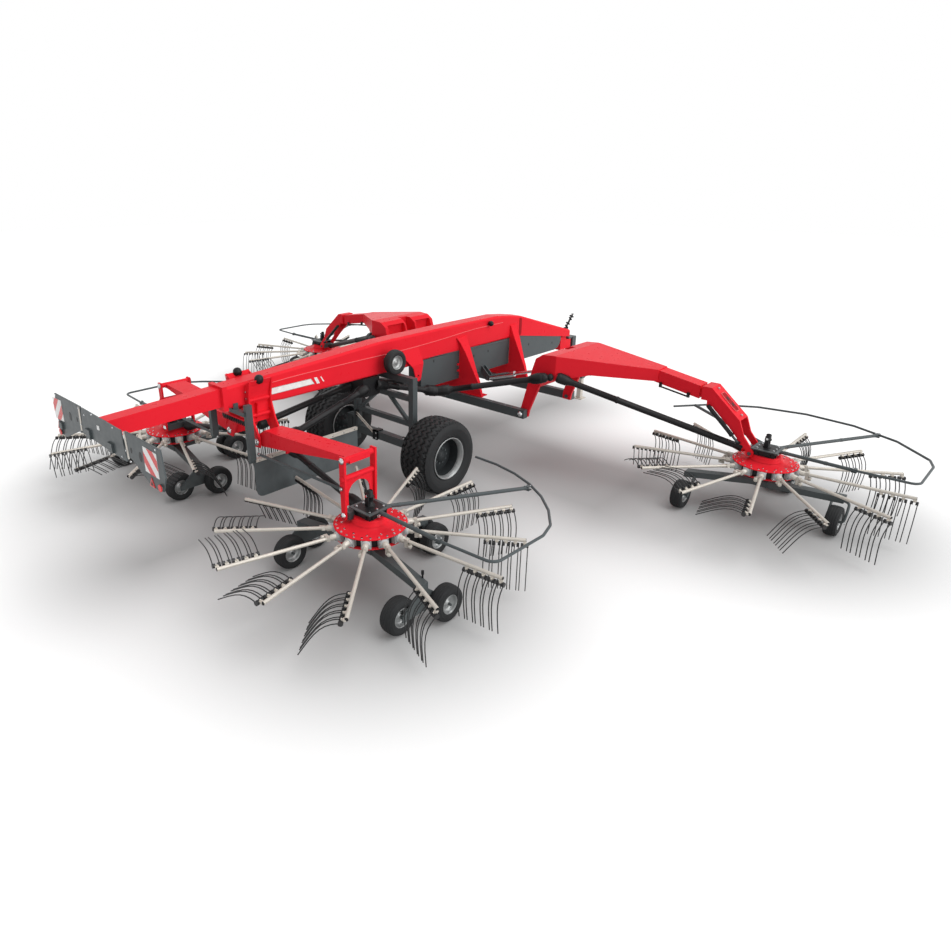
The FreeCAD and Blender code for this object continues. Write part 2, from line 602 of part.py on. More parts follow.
def make_cross_beams():
    """The two transverse beams with the fold pins of the front arms."""
    low = "cross_top - cross_depth"
    rear_x = "gusset_rear - 5 - cross_width"
    front_x = "gusset_front - 100"
    pieces = [
        box("RearCross", (rear_x, "-cross_half", low), ("cross_width", "2 * cross_half", "cross_depth")),
        box("FrontCross", (front_x, "-cross_half", low), ("cross_width", "2 * cross_half", "cross_depth"))]
    reach = "cross_width + leg_gap + leg_wall + 40"
    for tag, side in (("Left", ""), ("Right", "-")):
        pieces.append(cylinder("RearFoldPin" + tag, (rear_x + " - 20", side + "fold_y", "fold_z"), "X",
            "fold_pin", reach))
        pieces.append(cylinder("FrontFoldPin" + tag, (front_x + " - leg_gap - leg_wall - 20",
            side + "fold_y", "fold_z"),
                               "X", "fold_pin", reach))
    finish(fused("CrossBeams", pieces), "cross_beams")


def make_portal():
    """The portal chassis: posts, cross-bars, the axle beam and its kingpin lugs."""
    half = "post_size / 2"
    bar = "2 * post_y - post_size"
    pieces = [
        box("PortalTop", ("portal_x - " + half, "-post_y - " + half, "beam_low - 90"), ("post_size",
            "2 * post_y + post_size", "90")),
        box("PortalUpper", ("portal_x - 35", "-post_y + " + half, "1190"), ("70", bar, "80")),
        box("PortalLower", ("portal_x - 35", "-post_y + " + half, "820"), ("70", bar, "75")),
        box("AxleBeam", ("portal_x - 55", "-kingpin_y + 100", "tyre_radius - 60"), ("110",
            "2 * (kingpin_y - 100)", "120"))]
    for tag, side, low in (("Left", "", "post_y - " + half), ("Right", "-", "-post_y - " + half)):
        pieces.append(box("Post" + tag, ("portal_x - " + half, low, "tyre_radius"), ("post_size",
            "post_size", "beam_low - 90 - tyre_radius")))
        cheek = "kingpin_y - 116" if tag == "Left" else "-kingpin_y + 86"
        reach = "kingpin_y - 116" if tag == "Left" else "-kingpin_y - 64"
        pieces.append(box("LugPost" + tag, ("portal_x - 60", cheek, "tyre_radius - 200"), ("120", "30",
            "400")))
        for end, height in (("Top", "tyre_radius + 165"), ("Low", "tyre_radius - 200")):
            pieces.append(box("Lug" + end + tag, ("portal_x - 60", reach, height), ("120", "180", "35")))
        pieces.append(cylinder("Kingpin" + tag, ("portal_x", side + "kingpin_y", "tyre_radius - 210"),
            "Z", "kingpin", "420"))
    for tag, side in (("Left", 1), ("Right", -1)):
        brace = outline_body("Brace" + tag, "YZ_Plane", [
            ("%d * 90" % side, "1200"), ("%d * 160" % side, "1200"), ("%d * (post_y - 60)" % side, "890"),
            ("%d * (post_y - 130)" % side, "890")], "portal_x - 25", "50")
        pieces.append(brace)
    finish(fused("Portal", pieces), "portal_frame")


def make_knuckles():
    """The steering knuckles that carry the main wheels."""
    block = box("KnuckleBlock", ("portal_x - 55", "kingpin_y - 50", "tyre_radius - 165 + glide"),
                ("110", "110", "330 - 2 * glide"))
    stub = cylinder("KnuckleStub", ("portal_x", "kingpin_y + 50", "tyre_radius"), "Y", "stub_axle",
        "track_half + 60 - kingpin_y - 50")
    arm = box("SteeringArm", ("portal_x - 290", "kingpin_y - 40", "tyre_radius - 60"), ("240", "60", "30"))
    bore = cylinder("KnuckleBore", ("portal_x", "kingpin_y", "tyre_radius - 220"), "Z", "kingpin + fit",
        "440")
    finish_pair(cut("Knuckle", fused("KnuckleBody", [block, stub, arm]), bore), "knuckle")


def make_main_wheels():
    """The two main wheels."""
    shape = wheel_shape(vec("portal_x", "track_half", "tyre_radius"), size("tyre_radius"),
        size("tyre_width"),
                        size("rim_radius"), size("stub_axle + fit"))
    finish_pair(free_shape("MainWheel", shape), "main_wheel")


def board_panel(name, corners):
    """Return one panel of the light board from (Y, distance below the board's top) pairs."""
    outline = [("%d" % across, "board_top - %d" % below) for across, below in corners]
    return outline_body(name, "YZ_Plane", outline, "rear_end + lamp_depth", "board_wall")


def make_light_board():
    """The rear light board: centre panel, two cranked wings, rails, lamps and reflectors."""
    centre = board_panel("BoardCentre", [(494, 10), (-475, 26), (-518, 346), (575, 320)])
    left = board_panel("BoardLeft", [(1252, 8), (516, 5), (599, 326), (700, 340), (1100, 505), (1262,
        505), (1292, 324)])
    right = board_panel("BoardRight", [(-568, 8), (-1297, 5), (-1333, 275), (-1259, 438), (-1024, 459),
        (-700, 300), (-565, 259)])
    rail = box("BoardRail", ("rear_end + lamp_depth + board_wall", "-1000", "board_top - 180"), ("14",
        "2000", "60"))
    tie = box("BoardTie", ("rear_end + lamp_depth + board_wall", "-90", "tail_rear_low + 20"), ("14",
        "180", "150"))
    pieces = [centre, left, right, rail, tie]
    for number, (across, below, half) in enumerate([(370, 276, "lamp_half"), (-186, 282, "lamp_half"),
        (1184, 384, "lamp_half * 0.8")]):
        pieces.append(box("Lamp%d" % number, ("rear_end", "%d - %s" % (across, half),
            "board_top - %d - %s" % (below, half)),
                          ("lamp_depth", "2 * " + half, "2 * " + half)))
    for tag, across, below in (("Left", 1232, 470), ("Right", -1232, 400)):
        pieces.append(cylinder("Reflector" + tag, ("rear_end + 8", "%d" % across,
            "board_top - %d" % below), "X", "36", "lamp_depth - 8"))
    finish(fused("LightBoard", pieces), "light_board")


def make_curtain():
    """The swath curtain with its rounded rear corner, its rail and the two hanger posts."""
    side = "curtain_y - curtain_wall / 2"
    turns = [(0.0, 1.0), (0.076, 0.617), (0.293, 0.293), (0.617, 0.076), (1.0, 0.0)]
    corner = [("curtain_rear + 60 + curtain_round * %s" % along,
        "curtain_low + curtain_round * %s" % up) for along, up in turns]
    finish(outline_body("Curtain", "XZ_Plane", [("curtain_rear + 60", "curtain_top")] + corner + [
        ("curtain_front", "curtain_low"), ("curtain_front", "curtain_top")],
        "-(curtain_y + curtain_wall / 2)", "curtain_wall"), "swath_curtain")
    post_top = "beam_rear_low + 70"
    pieces = [
        box("CurtainRail", ("curtain_rear", side + " - 12", "curtain_top"),
            ("curtain_front - curtain_rear", "32", "34")),
        box("PostNear", ("curtain_rear", "curtain_y - 34", "curtain_top + 34"), ("80", "60",
            post_top + " - curtain_top - 34")),
        box("PostFar", ("curtain_rear - 60", "-curtain_y - 26", "1130"), ("80", "60", post_top + " - 1130")),
        box("PostBridge", ("curtain_rear - 20", "curtain_y", "beam_rear_low - 65"), ("60",
            "-2 * curtain_y", "50")),
        box("BridgeCheekRight", ("curtain_rear - 20", "-beam_half - 14", "beam_rear_low - 65"), ("60",
            "14", "120")),
        box("BridgeCheekLeft", ("curtain_rear - 20", "beam_half", "beam_rear_low - 65"), ("60", "14",
            "120"))]
    finish(fused("CurtainPosts", pieces), "curtain_posts")


def make_rear_brackets():
    """The flared bracket plates, cross tubes and pins that carry the rear arms."""
    pieces = []
    for tag, low in (("Back", "rear_hub_x - rear_root_half - 15 - bracket_wall"), ("Ahead",
        "rear_hub_x + rear_root_half + 15")):
        plate = outline_body("Bracket" + tag, "YZ_Plane", [
            ("beam_half", "wing_low"), ("beam_half", "wing_high"), ("beam_half + 120", "wing_tip"),
            ("beam_half + 72", "wing_waist"),
            ("beam_half + 72", "wing_heel"), ("beam_half + 130", "wing_hip"), ("rear_pin_y + 70",
            "rear_pin_z + 60"), ("rear_pin_y + 60", "rear_pin_z - 60"),
            ("rear_pin_y - 60", "rear_pin_z - 70"), ("beam_half - 60", "wing_crotch"), ("beam_half - 110",
            "wing_sole"),
            ("beam_half", "wing_sole")], low, "bracket_wall")
        pieces += [plate, mirrored("Bracket" + tag + "Right", plate)]
    saddle = outline_body("BracketSaddle", "YZ_Plane", [
        ("beam_half", "wing_low"), ("beam_half + 22", "wing_heel + 20"), ("beam_half + 44",
        "wing_waist + 20"), ("beam_half + 78", "wing_high - 10"),
        ("beam_half + 118", "wing_tip - 3"), ("beam_half + 100", "wing_tip - 3"), ("beam_half + 60",
        "wing_high - 5"), ("beam_half + 28", "wing_waist + 28"),
        ("beam_half + 8", "wing_heel + 32"), ("beam_half", "wing_heel + 5")],
        "rear_hub_x - rear_root_half - 15", "2 * (rear_root_half + 15)")
    pieces += [saddle, mirrored("BracketSaddleRight", saddle)]
    span = "2 * (rear_root_half + 15 + bracket_wall)"
    start = "rear_hub_x - rear_root_half - 15 - bracket_wall"
    for tag, side in (("Left", ""), ("Right", "-")):
        pieces.append(cylinder("RearPin" + tag, (start + " - 15", side + "rear_pin_y", "rear_pin_z"), "X",
            "rear_pin", span + " + 30"))
        pieces.append(cylinder("BracketTube" + tag, (start, side + "(beam_half + 34)", "bracket_tube_z"),
            "X", "24", span))
    finish(fused("RearBrackets", pieces), "rear_brackets")


def make_spare_wheel():
    """The spare castor wheel on its short axle beside the beam."""
    wheel = free_shape("SpareTyre", wheel_shape(vec("spare_x", "spare_y", "spare_z"), size("spare_radius"),
                       size("spare_width"), size("spare_radius") * 0.5, 20))
    axle = cylinder("SpareAxle", ("spare_x", "spare_y - spare_width / 2", "spare_z"), "Y", "20",
        "-spare_y + spare_width / 2 - beam_half")
    finish(fused("SpareWheel", [wheel, axle]), "spare_wheel")


def make_drive_line():
    """The central gearbox and the drive shafts that stay with the frame."""
    pieces = [box("Gearbox", ("-560", "-170", "beam_low - 260"), ("300", "340", "260 - fit"))]
    radius = size("shaft_radius")
    joint = size("joint_radius")
    solids = []
    for side in (1, -1):
        spots = [vec(-330, side * 170, 1430), vec(700, side * 390, 1150), vec(1395, side * 1790, 1490)]
        solids.append(rod(spots[0], spots[1], radius))
        solids.append(rod(spots[1], spots[2], radius))
        solids.append(Part.makeSphere(joint, spots[1]))
        solids.append(Part.makeSphere(joint, spots[2]))
        solids.append(rod(vec(-500, side * 150, 1400), vec(-1960, side * 330, 1120), radius))
    pieces.append(free_shape("FrameShafts", solids[0].multiFuse(solids[1:])))
    finish(fused("DriveLine", pieces), "drive_line")


def make_headstock():
    """The lower link headstock that swivels on the beam's lug, with its drive stub."""
    wide = "2 * (lug_half - 4)"
    reach = "column_x + 20 - swivel_x + 45"
    mid_x = "(column_x + column_depth / 2)"
    pieces = [
        box("SwivelTop", ("swivel_x - 45", "-lug_half + 4", "lug_top + glide"), (reach, wide, "fork_plate")),
        box("SwivelLow", ("swivel_x - 45", "-lug_half + 4", "lug_low - glide - fork_plate"), (reach, wide,
            "fork_plate")),
        box("Column", ("column_x", "-70", "hitch_z - 60"), ("column_depth", "140",
            "lug_top + glide + fork_plate - hitch_z + 60")),
        box("CrossShaft", (mid_x + " - 45", "-hitch_half", "hitch_z - 45"), ("90", "2 * hitch_half", "90")),
        cylinder("SwivelPin", ("swivel_x", "0", "lug_low - fork_plate - 15"), "Z", "swivel_pin",
            "lug_top - lug_low + 2 * fork_plate + 30"),
        cylinder("LinkPinLeft", (mid_x, "hitch_half", "hitch_z"), "Y", "link_pin", "link_length"),
        cylinder("LinkPinRight", (mid_x, "-hitch_half - link_length", "hitch_z"), "Y", "link_pin",
            "link_length"),
        cylinder("DriveStub", ("front_end - stub_length", "0", "stub_z"), "X", "stub_radius", "stub_length"),
        cylinder("DriveHub", ("column_x + column_depth - 10", "0", "stub_z"), "X", "66",
                 "front_end - stub_length - column_x - column_depth + 10")]
    finish(fused("Headstock", pieces), "headstock")


def make_jack():
    """The parking jack: a fixed tube beside the headstock's column and the leg that slides in it."""
    outer = "jack_outer"
    shell = box("JackTube", ("jack_x - " + outer, "jack_y - " + outer, "jack_low"), ("2 * jack_outer",
        "2 * jack_outer", "jack_high - jack_low"))
    bore = box("JackBore", ("jack_x - jack_inner - glide", "jack_y - jack_inner - glide", "jack_low - 50"),
               ("2 * (jack_inner + glide)", "2 * (jack_inner + glide)", "jack_high - jack_low + 25"))
    arm = box("JackArm", ("column_x + 30", "jack_y + " + outer, "jack_high - 90"),
              ("jack_x + 40 - column_x - 30", "-jack_y - jack_outer - 70 - fit", "80"))
    finish(fused("JackBody", [cut("JackShell", shell, bore), arm]), "jack_tube")
    leg = box("JackLegBar", ("jack_x - jack_inner", "jack_y - jack_inner", "10"), ("2 * jack_inner",
        "2 * jack_inner", "jack_high - jack_lift - 65"))
    foot = box("JackFoot", ("jack_x - jack_foot", "jack_y - jack_foot", "0"), ("2 * jack_foot",
        "2 * jack_foot", "20"))
    finish(fused("JackLeg", [leg, foot]), "jack_leg")


# ---------------------------------------------------------------- front arms

def slide_height(reach):
    """Return the expression of the telescope's centre height at a reach."""
    return "(slide_z - slide_slope * (%s - 3000))" % reach


def arm_shaft_shape():
    """Return the guarded shaft that runs from the fold axis to the front rotor's gear head."""
    inner = vec("gusset_rear + 35", 1925, 1500)
    outer = vec("front_hub_x - 8", "front_hub_y - pin_offset - 135", "pin_z + 8")
    return rod(inner, outer, size("shaft_radius")).fuse([Part.makeSphere(size("joint_radius") - 20, outer),
                                                        rod(inner, inner + FreeCAD.Vector(60, 0, 60), 30)])


def make_front_arms():
    """The gull-wing front arms with their legs, hollow for the telescope."""
    back = "gusset_rear - 5 + leg_gap"
    ahead = "gusset_front - 100 - leg_gap"
    side = outline_body("ArmSide", "YZ_Plane", [
        ("fold_y - 65", "fold_z - 50"), ("fold_y + 65", "fold_z - 55"), ("fold_y + 80", "fold_z + 40"),
        ("fold_y + 270", "fold_z + leg_corner"), ("arm_belly_y", "arm_belly_z"), ("arm_end_y",
        "arm_end_low"), ("arm_end_y", "arm_end_top"),
        ("root_shoulder_y", "root_top"), ("root_crown_y", "root_top - 15"), ("root_brow_y",
        "root_top - 90"), ("root_inner", "root_top - 230"),
        ("fold_y - 70", "fold_z + 40")], back, ahead + " - (" + back + ")")
    plan = outline_body("ArmPlan", "XY_Plane", [
        (back + " - 5", "fold_y - 100"), (ahead + " + 5", "fold_y - 100"), (ahead + " + 5", "arm_taper_y"),
        ("front_hub_x + arm_end_half", "arm_end_y + 5"), ("front_hub_x - arm_end_half", "arm_end_y + 5"),
        (back + " - 5", "arm_taper_y")],
        "fold_z - 200", "1300")
    blank = doc.addObject("Part::Common", "ArmBlank")
    blank.Base = side
    blank.Tool = plan
    half = "housing_depth / 2"
    housing = outline_body("ArmHousing", "YZ_Plane", [
        ("housing_inner", slide_height("housing_inner") + " - " + half), ("housing_end",
        slide_height("housing_end") + " - " + half),
        ("housing_end", slide_height("housing_end") + " + " + half), ("housing_inner",
        slide_height("housing_inner") + " + " + half)],
        "front_hub_x - housing_half", "2 * housing_half")
    tunnel_half = "(tube_depth / 2 + glide)"
    inside = "(tube_inner - 20)"
    outside = "(housing_end + 30)"
    tunnel = outline_body("ArmTunnel", "YZ_Plane", [
        (inside, slide_height(inside) + " - " + tunnel_half), (outside,
        slide_height(outside) + " - " + tunnel_half),
        (outside, slide_height(outside) + " + " + tunnel_half), (inside,
        slide_height(inside) + " + " + tunnel_half)],
        "front_hub_x - tube_half - glide", "2 * (tube_half + glide)")
    leg_room = box("LegRoom", (back + " + leg_wall", "fold_y - 120", "fold_z - 100"),
                   (ahead + " - (" + back + ") - 2 * leg_wall", "400", "leg_corner"))
    corridor = box("Corridor", ("cylinder_x - corridor_half", "fold_y - 120", "fold_z - 100"),
                   ("2 * corridor_half", "corridor_reach", "corridor_height"))
    pockets = [
        box("RootPocketBack", (back + " + leg_wall + 30", "fold_y - 20", "root_top - 320"),
            ("cylinder_x - corridor_half - 40 - (" + back + ") - leg_wall - 30", "pocket_reach",
            "pocket_height")),
        box("RootPocketAhead", ("cylinder_x + corridor_half + 40", "fold_y - 20", "root_top - 320"),
            (ahead + " - leg_wall - 30 - cylinder_x - corridor_half - 40", "pocket_reach", "pocket_height"))]
    shaft = free_shape("ArmShaft", arm_shaft_shape())
    ears = []
    for tag, foot in (("Back", "cylinder_x - corridor_half - 2"), ("Ahead", "cylinder_x + ear_gap")):
        ears.append(cylinder("RodEar" + tag, (foot, "eye_y", "eye_z"), "X", "eye_radius + 14",
            "corridor_half + 2 - ear_gap"))
    bore = cylinder("FoldBore", (back + " - 50", "fold_y", "fold_z"), "X", "fold_pin + fit",
        ahead + " - (" + back + ") + 100")
    solid = fused("ArmSolid", [blank, housing])
    tools = fused("ArmTools", [tunnel, leg_room, corridor, bore] + pockets)
    finish_pair(fused("FrontArm", [cut("ArmHollow", solid, tools), shaft] + ears), "front_arm")


def make_front_sliders():
    """The inner tubes of the telescopes with the forks that carry the front rotors."""
    half = "tube_depth / 2"
    tube = outline_body("SliderTube", "YZ_Plane", [
        ("tube_inner", slide_height("tube_inner") + " - " + half), ("slider_end",
        slide_height("slider_end") + " - " + half),
        ("slider_end", slide_height("slider_end") + " + " + half), ("tube_inner",
        slide_height("tube_inner") + " + " + half)],
        "front_hub_x - tube_half", "2 * tube_half")
    block = box("ForkBlock", ("front_hub_x - front_fork_half - fork_wall / 2", "fork_root_y", "fork_root_z"),
                ("2 * front_fork_half + fork_wall", "90", "180"))
    pin_y = "front_hub_y - pin_offset"
    pieces = [tube, block]
    for tag, place in (("Back", "front_hub_x - front_fork_half"), ("Ahead",
        "front_hub_x + front_fork_half")):
        pieces.append(outline_body("ForkCheek" + tag, "YZ_Plane", [
            ("fork_root_y", "fork_root_z"), ("fork_knee_y", "fork_root_z"), ("fork_elbow_y",
            "fork_elbow_z"), (pin_y + " - 60", "pin_z + 40"), (pin_y + " - 35", "pin_z - 40"),
            (pin_y + " + 40", "pin_z - 40"), (pin_y + " + 50", "pin_z + 30"), ("fork_back_y",
            "fork_back_z"), ("fork_shoulder_y", "fork_shoulder_z"),
            ("fork_brow_y", "fork_root_high"), ("fork_root_y", "fork_root_high")],
            place + " - fork_wall / 2", "fork_wall"))
    pieces.append(outline_body("ForkCover", "YZ_Plane", [
        ("fork_knee_y", "fork_root_high"), ("fork_brow_y", "fork_root_high"), ("fork_shoulder_y",
        "fork_shoulder_z"), ("fork_shoulder_y - 15", "fork_shoulder_z - 15"), ("fork_brow_y - 10",
            "fork_root_high - 20"), ("fork_knee_y", "fork_root_high - 20")],
        "front_hub_x - front_fork_half", "2 * front_fork_half"))
    bore = cylinder("ForkBore", ("front_hub_x - 400", pin_y, "pin_z"), "X", "head_pin", "800")
    finish_pair(cut("FrontSlider", fused("SliderBody", pieces), bore), "front_slider")


def make_lift_cylinders():
    """The lift cylinders of the front arms: barrels pinned to the gussets and rods with open eyes."""
    start = vec("cylinder_x", "barrel_y", "barrel_z")
    end = vec("cylinder_x", "eye_y", "eye_z")
    way = end.sub(start)
    unit = FreeCAD.Vector(way).normalize()
    across = FreeCAD.Vector(1, 0, 0)
    half = size("eye_half")
    radius = size("barrel_radius")
    hollow_start = 90
    outer = Part.makeCylinder(radius, size("barrel_end") - 60, start + unit * 60, unit)
    hollow = Part.makeCylinder(radius - size("barrel_wall"), size("barrel_end"),
        start + unit * hollow_start, unit)
    eye = Part.makeCylinder(size("eye_radius"), 2 * half, start - across * half, across)
    neck = Part.makeCylinder(half, 80, start, unit)
    hole = Part.makeCylinder(size("barrel_pin + fit"), 2 * half, start - across * half, across)
    barrel = outer.cut(hollow).multiFuse([eye, neck]).cut(hole)
    finish_pair(free_shape("LiftBarrel", barrel), "lift_barrel")
    inner = hollow_start + size("lift_stroke") + 5
    shaft = Part.makeCylinder(size("lift_rod"), way.Length - inner, start + unit * inner, unit)
    piston = Part.makeCylinder(radius - size("barrel_wall + fit"), 40, start + unit * inner, unit)
    rod_eye = Part.makeCylinder(size("eye_radius"), 2 * half, end - across * half, across)
    finish_pair(free_shape("LiftRod", shaft.multiFuse([piston, rod_eye])), "lift_rod")


# ---------------------------------------------------------------- rear arms

def make_rear_arms():
    """The rear arms with the portal forks that carry the rear rotors."""
    side = outline_body("RearArmSide", "YZ_Plane", [
        ("rear_pin_y - 55", "rear_pin_z - 40"), ("rear_pin_y + 60", "rear_pin_z - 50"), ("rear_belly_y",
        "rear_belly_z"), ("rear_end_y", "rear_belly_z"),
        ("rear_end_y", "rear_end_top"), ("rear_crown_y", "rear_crown_z"), ("rear_pin_y - 40",
        "rear_pin_z + 60")], "rear_hub_x - rear_root_half - 15", "2 * (rear_root_half + 15)")
    plan = outline_body("RearArmPlan", "XY_Plane", [
        ("rear_hub_x - rear_root_half", "rear_pin_y - 100"), ("rear_hub_x + rear_root_half",
        "rear_pin_y - 100"),
        ("rear_hub_x + rear_root_half", "rear_pin_y + 200"), ("rear_hub_x + rear_fork_half",
        "rear_end_y + 5"),
        ("rear_hub_x - rear_fork_half", "rear_end_y + 5"), ("rear_hub_x - rear_root_half",
        "rear_pin_y + 200")], "1000", "600")
    blank = doc.addObject("Part::Common", "RearArmBlank")
    blank.Base = side
    blank.Tool = plan
    pin_y = "rear_hub_y - pin_offset"
    pieces = [blank]
    for tag, place in (("Back", "rear_hub_x - rear_fork_half"), ("Ahead", "rear_hub_x + rear_fork_half")):
        pieces.append(outline_body("RearCheek" + tag, "YZ_Plane", [
            (pin_y + " - 40", "rear_fork_high"), (pin_y + " + 45", "rear_fork_high"), (pin_y + " + 40",
            "rear_fork_waist"), (pin_y + " + 30", "pin_z - 40"),
            (pin_y + " - 30", "pin_z - 40"), (pin_y + " - 40", "rear_fork_waist")],
            place + " - fork_wall / 2", "fork_wall"))
    pieces.append(cylinder("ForkTubeTop", ("rear_hub_x - rear_fork_half", pin_y, "rear_tube_high"), "X",
        "34", "2 * rear_fork_half"))
    pieces.append(cylinder("ForkTubeLow", ("rear_hub_x - rear_fork_half", pin_y, "rear_tube_low"), "X",
        "30", "2 * rear_fork_half"))
    outer = vec("rear_hub_x + 60", "rear_hub_y - pin_offset - 75", "pin_z - 10")
    shaft = rod(vec("rear_hub_x + 182", 470, 1050), outer, size("shaft_radius") - 6)
    pieces.append(free_shape("RearArmShaft", shaft))
    pieces.append(box("RearShaftHanger", ("rear_hub_x + 60", "560", "1030"), ("100", "20", "180")))
    bores = fused("RearArmBores", [
        cylinder("RearForkBore", ("rear_hub_x - 400", pin_y, "pin_z"), "X", "head_pin", "800"),
        cylinder("RearRootBore", ("rear_hub_x - 400", "rear_pin_y", "rear_pin_z"), "X", "rear_pin + fit",
            "800")])
    finish_pair(cut("RearArm", fused("RearArmBody", pieces), bores), "rear_arm")


# ---------------------------------------------------------------- rotors

def tine_solid(radius):
    """Return one curved tine in the plane across its arm: it bows back and then hangs straight."""
    drop = size("coil_drop")
    reach = size("tine_length")
    half = size("tine_wire") / 2
    bows = [(0.0, 0.0), (52.0, 0.12), (88.0, 0.32), (104.0, 0.60), (106.0, 1.0)]
    line = [FreeCAD.Vector(0, 16 + bow, -drop - share * (reach - drop)) for bow, share in bows]
    front = [spot - FreeCAD.Vector(0, half, 0) for spot in line]
    back = [spot + FreeCAD.Vector(0, half, 0) for spot in reversed(line)]
    ring = front + back
    face = Part.Face(Part.makePolygon(ring + ring[:1]))
    solid = face.extrude(FreeCAD.Vector(size("tine_wire"), 0, 0))
    solid.translate(FreeCAD.Vector(radius - half, 0, 0))
    return solid


def tine_arm(lugs, first, pitch, spread, turn):
    """Return one tine arm along X: tube, crank, lugs, coils and tines, turned about its own axis."""
    along = FreeCAD.Vector(1, 0, 0)
    drop = size("coil_drop")
    inner = size("disc_radius") - 60
    tube = Part.makeCylinder(size("arm_tube"), size("arm_tip") - inner, FreeCAD.Vector(inner, 0, 0), along)
    last = first + pitch * (lugs - 1)
    reach = spread + size("coil_length") / 2
    bar = Part.makeCylinder(8, last - first + 2 * reach, FreeCAD.Vector(first - reach, 16, -drop), along)
    pieces = [bar]
    for number in range(lugs):
        radius = first + number * pitch
        lug = Part.makeBox(8, 24, drop + 4, FreeCAD.Vector(radius - 4, 4, -drop - 4))
        pieces.append(lug)
        for offset in (-spread, spread):
            middle = radius + offset
            foot = FreeCAD.Vector(middle - size("coil_length") / 2, 16, -drop)
            pieces.append(Part.makeCylinder(size("coil_radius"), size("coil_length"), foot, along))
            pieces.append(tine_solid(middle))
    crank = Part.makeBox(34, 30, 75, FreeCAD.Vector(size("disc_radius") + 90, -15, -78))
    arm = tube.multiFuse(pieces + [crank])
    arm.rotate(FreeCAD.Vector(), along, turn)
    return arm


def rotor_shape(lugs, first, pitch, spread):
    """Return a whole rotor about Z: bell disc, housings, lower ring and all its tine arms."""
    radius = size("disc_radius")
    wall = size("disc_wall")
    bore = size("spindle + fit")
    neck = size("neck_radius")
    edge = size("disc_edge")
    top = size("neck_top")
    low = size("ring_low")
    up = FreeCAD.Vector(0, 0, 1)
    bell = turned([(edge - wall, bore), (top, bore), (top, neck - 40), (top - 14, neck), (edge + 4,
        neck + 25),
                   (edge, radius), (edge - wall, radius)], FreeCAD.Vector(), up)
    ring = turned([(low, bore + 40), (low + wall, bore + 40), (low + wall, radius - 12), (low, radius - 12)],
                  FreeCAD.Vector(), up)
    drum = turned([(low, bore), (edge, bore), (edge, bore + 60), (low, bore + 60)], FreeCAD.Vector(), up)
    pieces = [ring, drum]
    half = size("knuckle_half")
    step = 360 / size("arm_count")
    for number in range(int(size("arm_count"))):
        bearing = size("first_arm") + step * number
        housing = Part.makeBox(radius - 40, 2 * half, edge - low - 2, FreeCAD.Vector(90, -half, low + 1))
        boss = Part.makeCylinder(half * 0.8, 60, FreeCAD.Vector(radius + 40, 0, size("arm_z")),
            FreeCAD.Vector(1, 0, 0))
        arm = tine_arm(lugs, first, pitch, spread, TINE_TURN[number % len(TINE_TURN)])
        arm.translate(FreeCAD.Vector(0, 0, size("arm_z")))
        for solid in (housing, boss, arm):
            solid.rotate(FreeCAD.Vector(), up, bearing)
            pieces.append(solid)
    return bell.multiFuse(pieces).removeSplitter()


def make_rotors():
    """The four rotors, each turning about its own spindle."""
    for end, stem in (("front", "rotor_front"), ("rear", "rotor_rear")):
        pitch = size(end + "_lug_pitch")
        spread = {"front": 0.30, "rear": 0.34}[end] * pitch
        shape = rotor_shape(int(size(end + "_lugs")), size(end + "_first_lug"), pitch, spread)
        shape = moved(shape, vec(end + "_hub_x", end + "_hub_y", 0))
        finish_pair(free_shape(stem.title().replace("_", ""), shape), stem)


def head_pieces(end):
    """Return the gear head, its hinge lug and pin, the crank and the fixed spindle of one rotor."""
    hub_x = end + "_hub_x"
    hub_y = end + "_hub_y"
    inside = "(%s_fork_half - fork_wall / 2 - 3)" % end
    tag = end.title()
    pin_y = hub_y + " - pin_offset"
    return [
        box(tag + "Head", (hub_x + " - head_half", hub_y + " - head_half", "head_low"),
            ("2 * head_half", "2 * head_half", "head_top - head_low")),
        box(tag + "HeadLug", (hub_x + " - " + inside, pin_y + " - 45", "pin_z - 40"), ("2 * " + inside,
            "110", "80")),
        cylinder(tag + "HeadPin", (hub_x + " - %s_fork_half - fork_wall / 2 - 12" % end, pin_y, "pin_z"),
            "X", "head_pin - fit",
                 "2 * %s_fork_half + fork_wall + 24" % end),
        cylinder(tag + "Crank", (hub_x + " + 20", hub_y + " - 20", "head_top"), "Z", "crank", "170"),
        cylinder(tag + "Spindle", (hub_x, hub_y, "chassis_z - 20"), "Z", "spindle",
            "head_low + 20 - chassis_z + 20")]


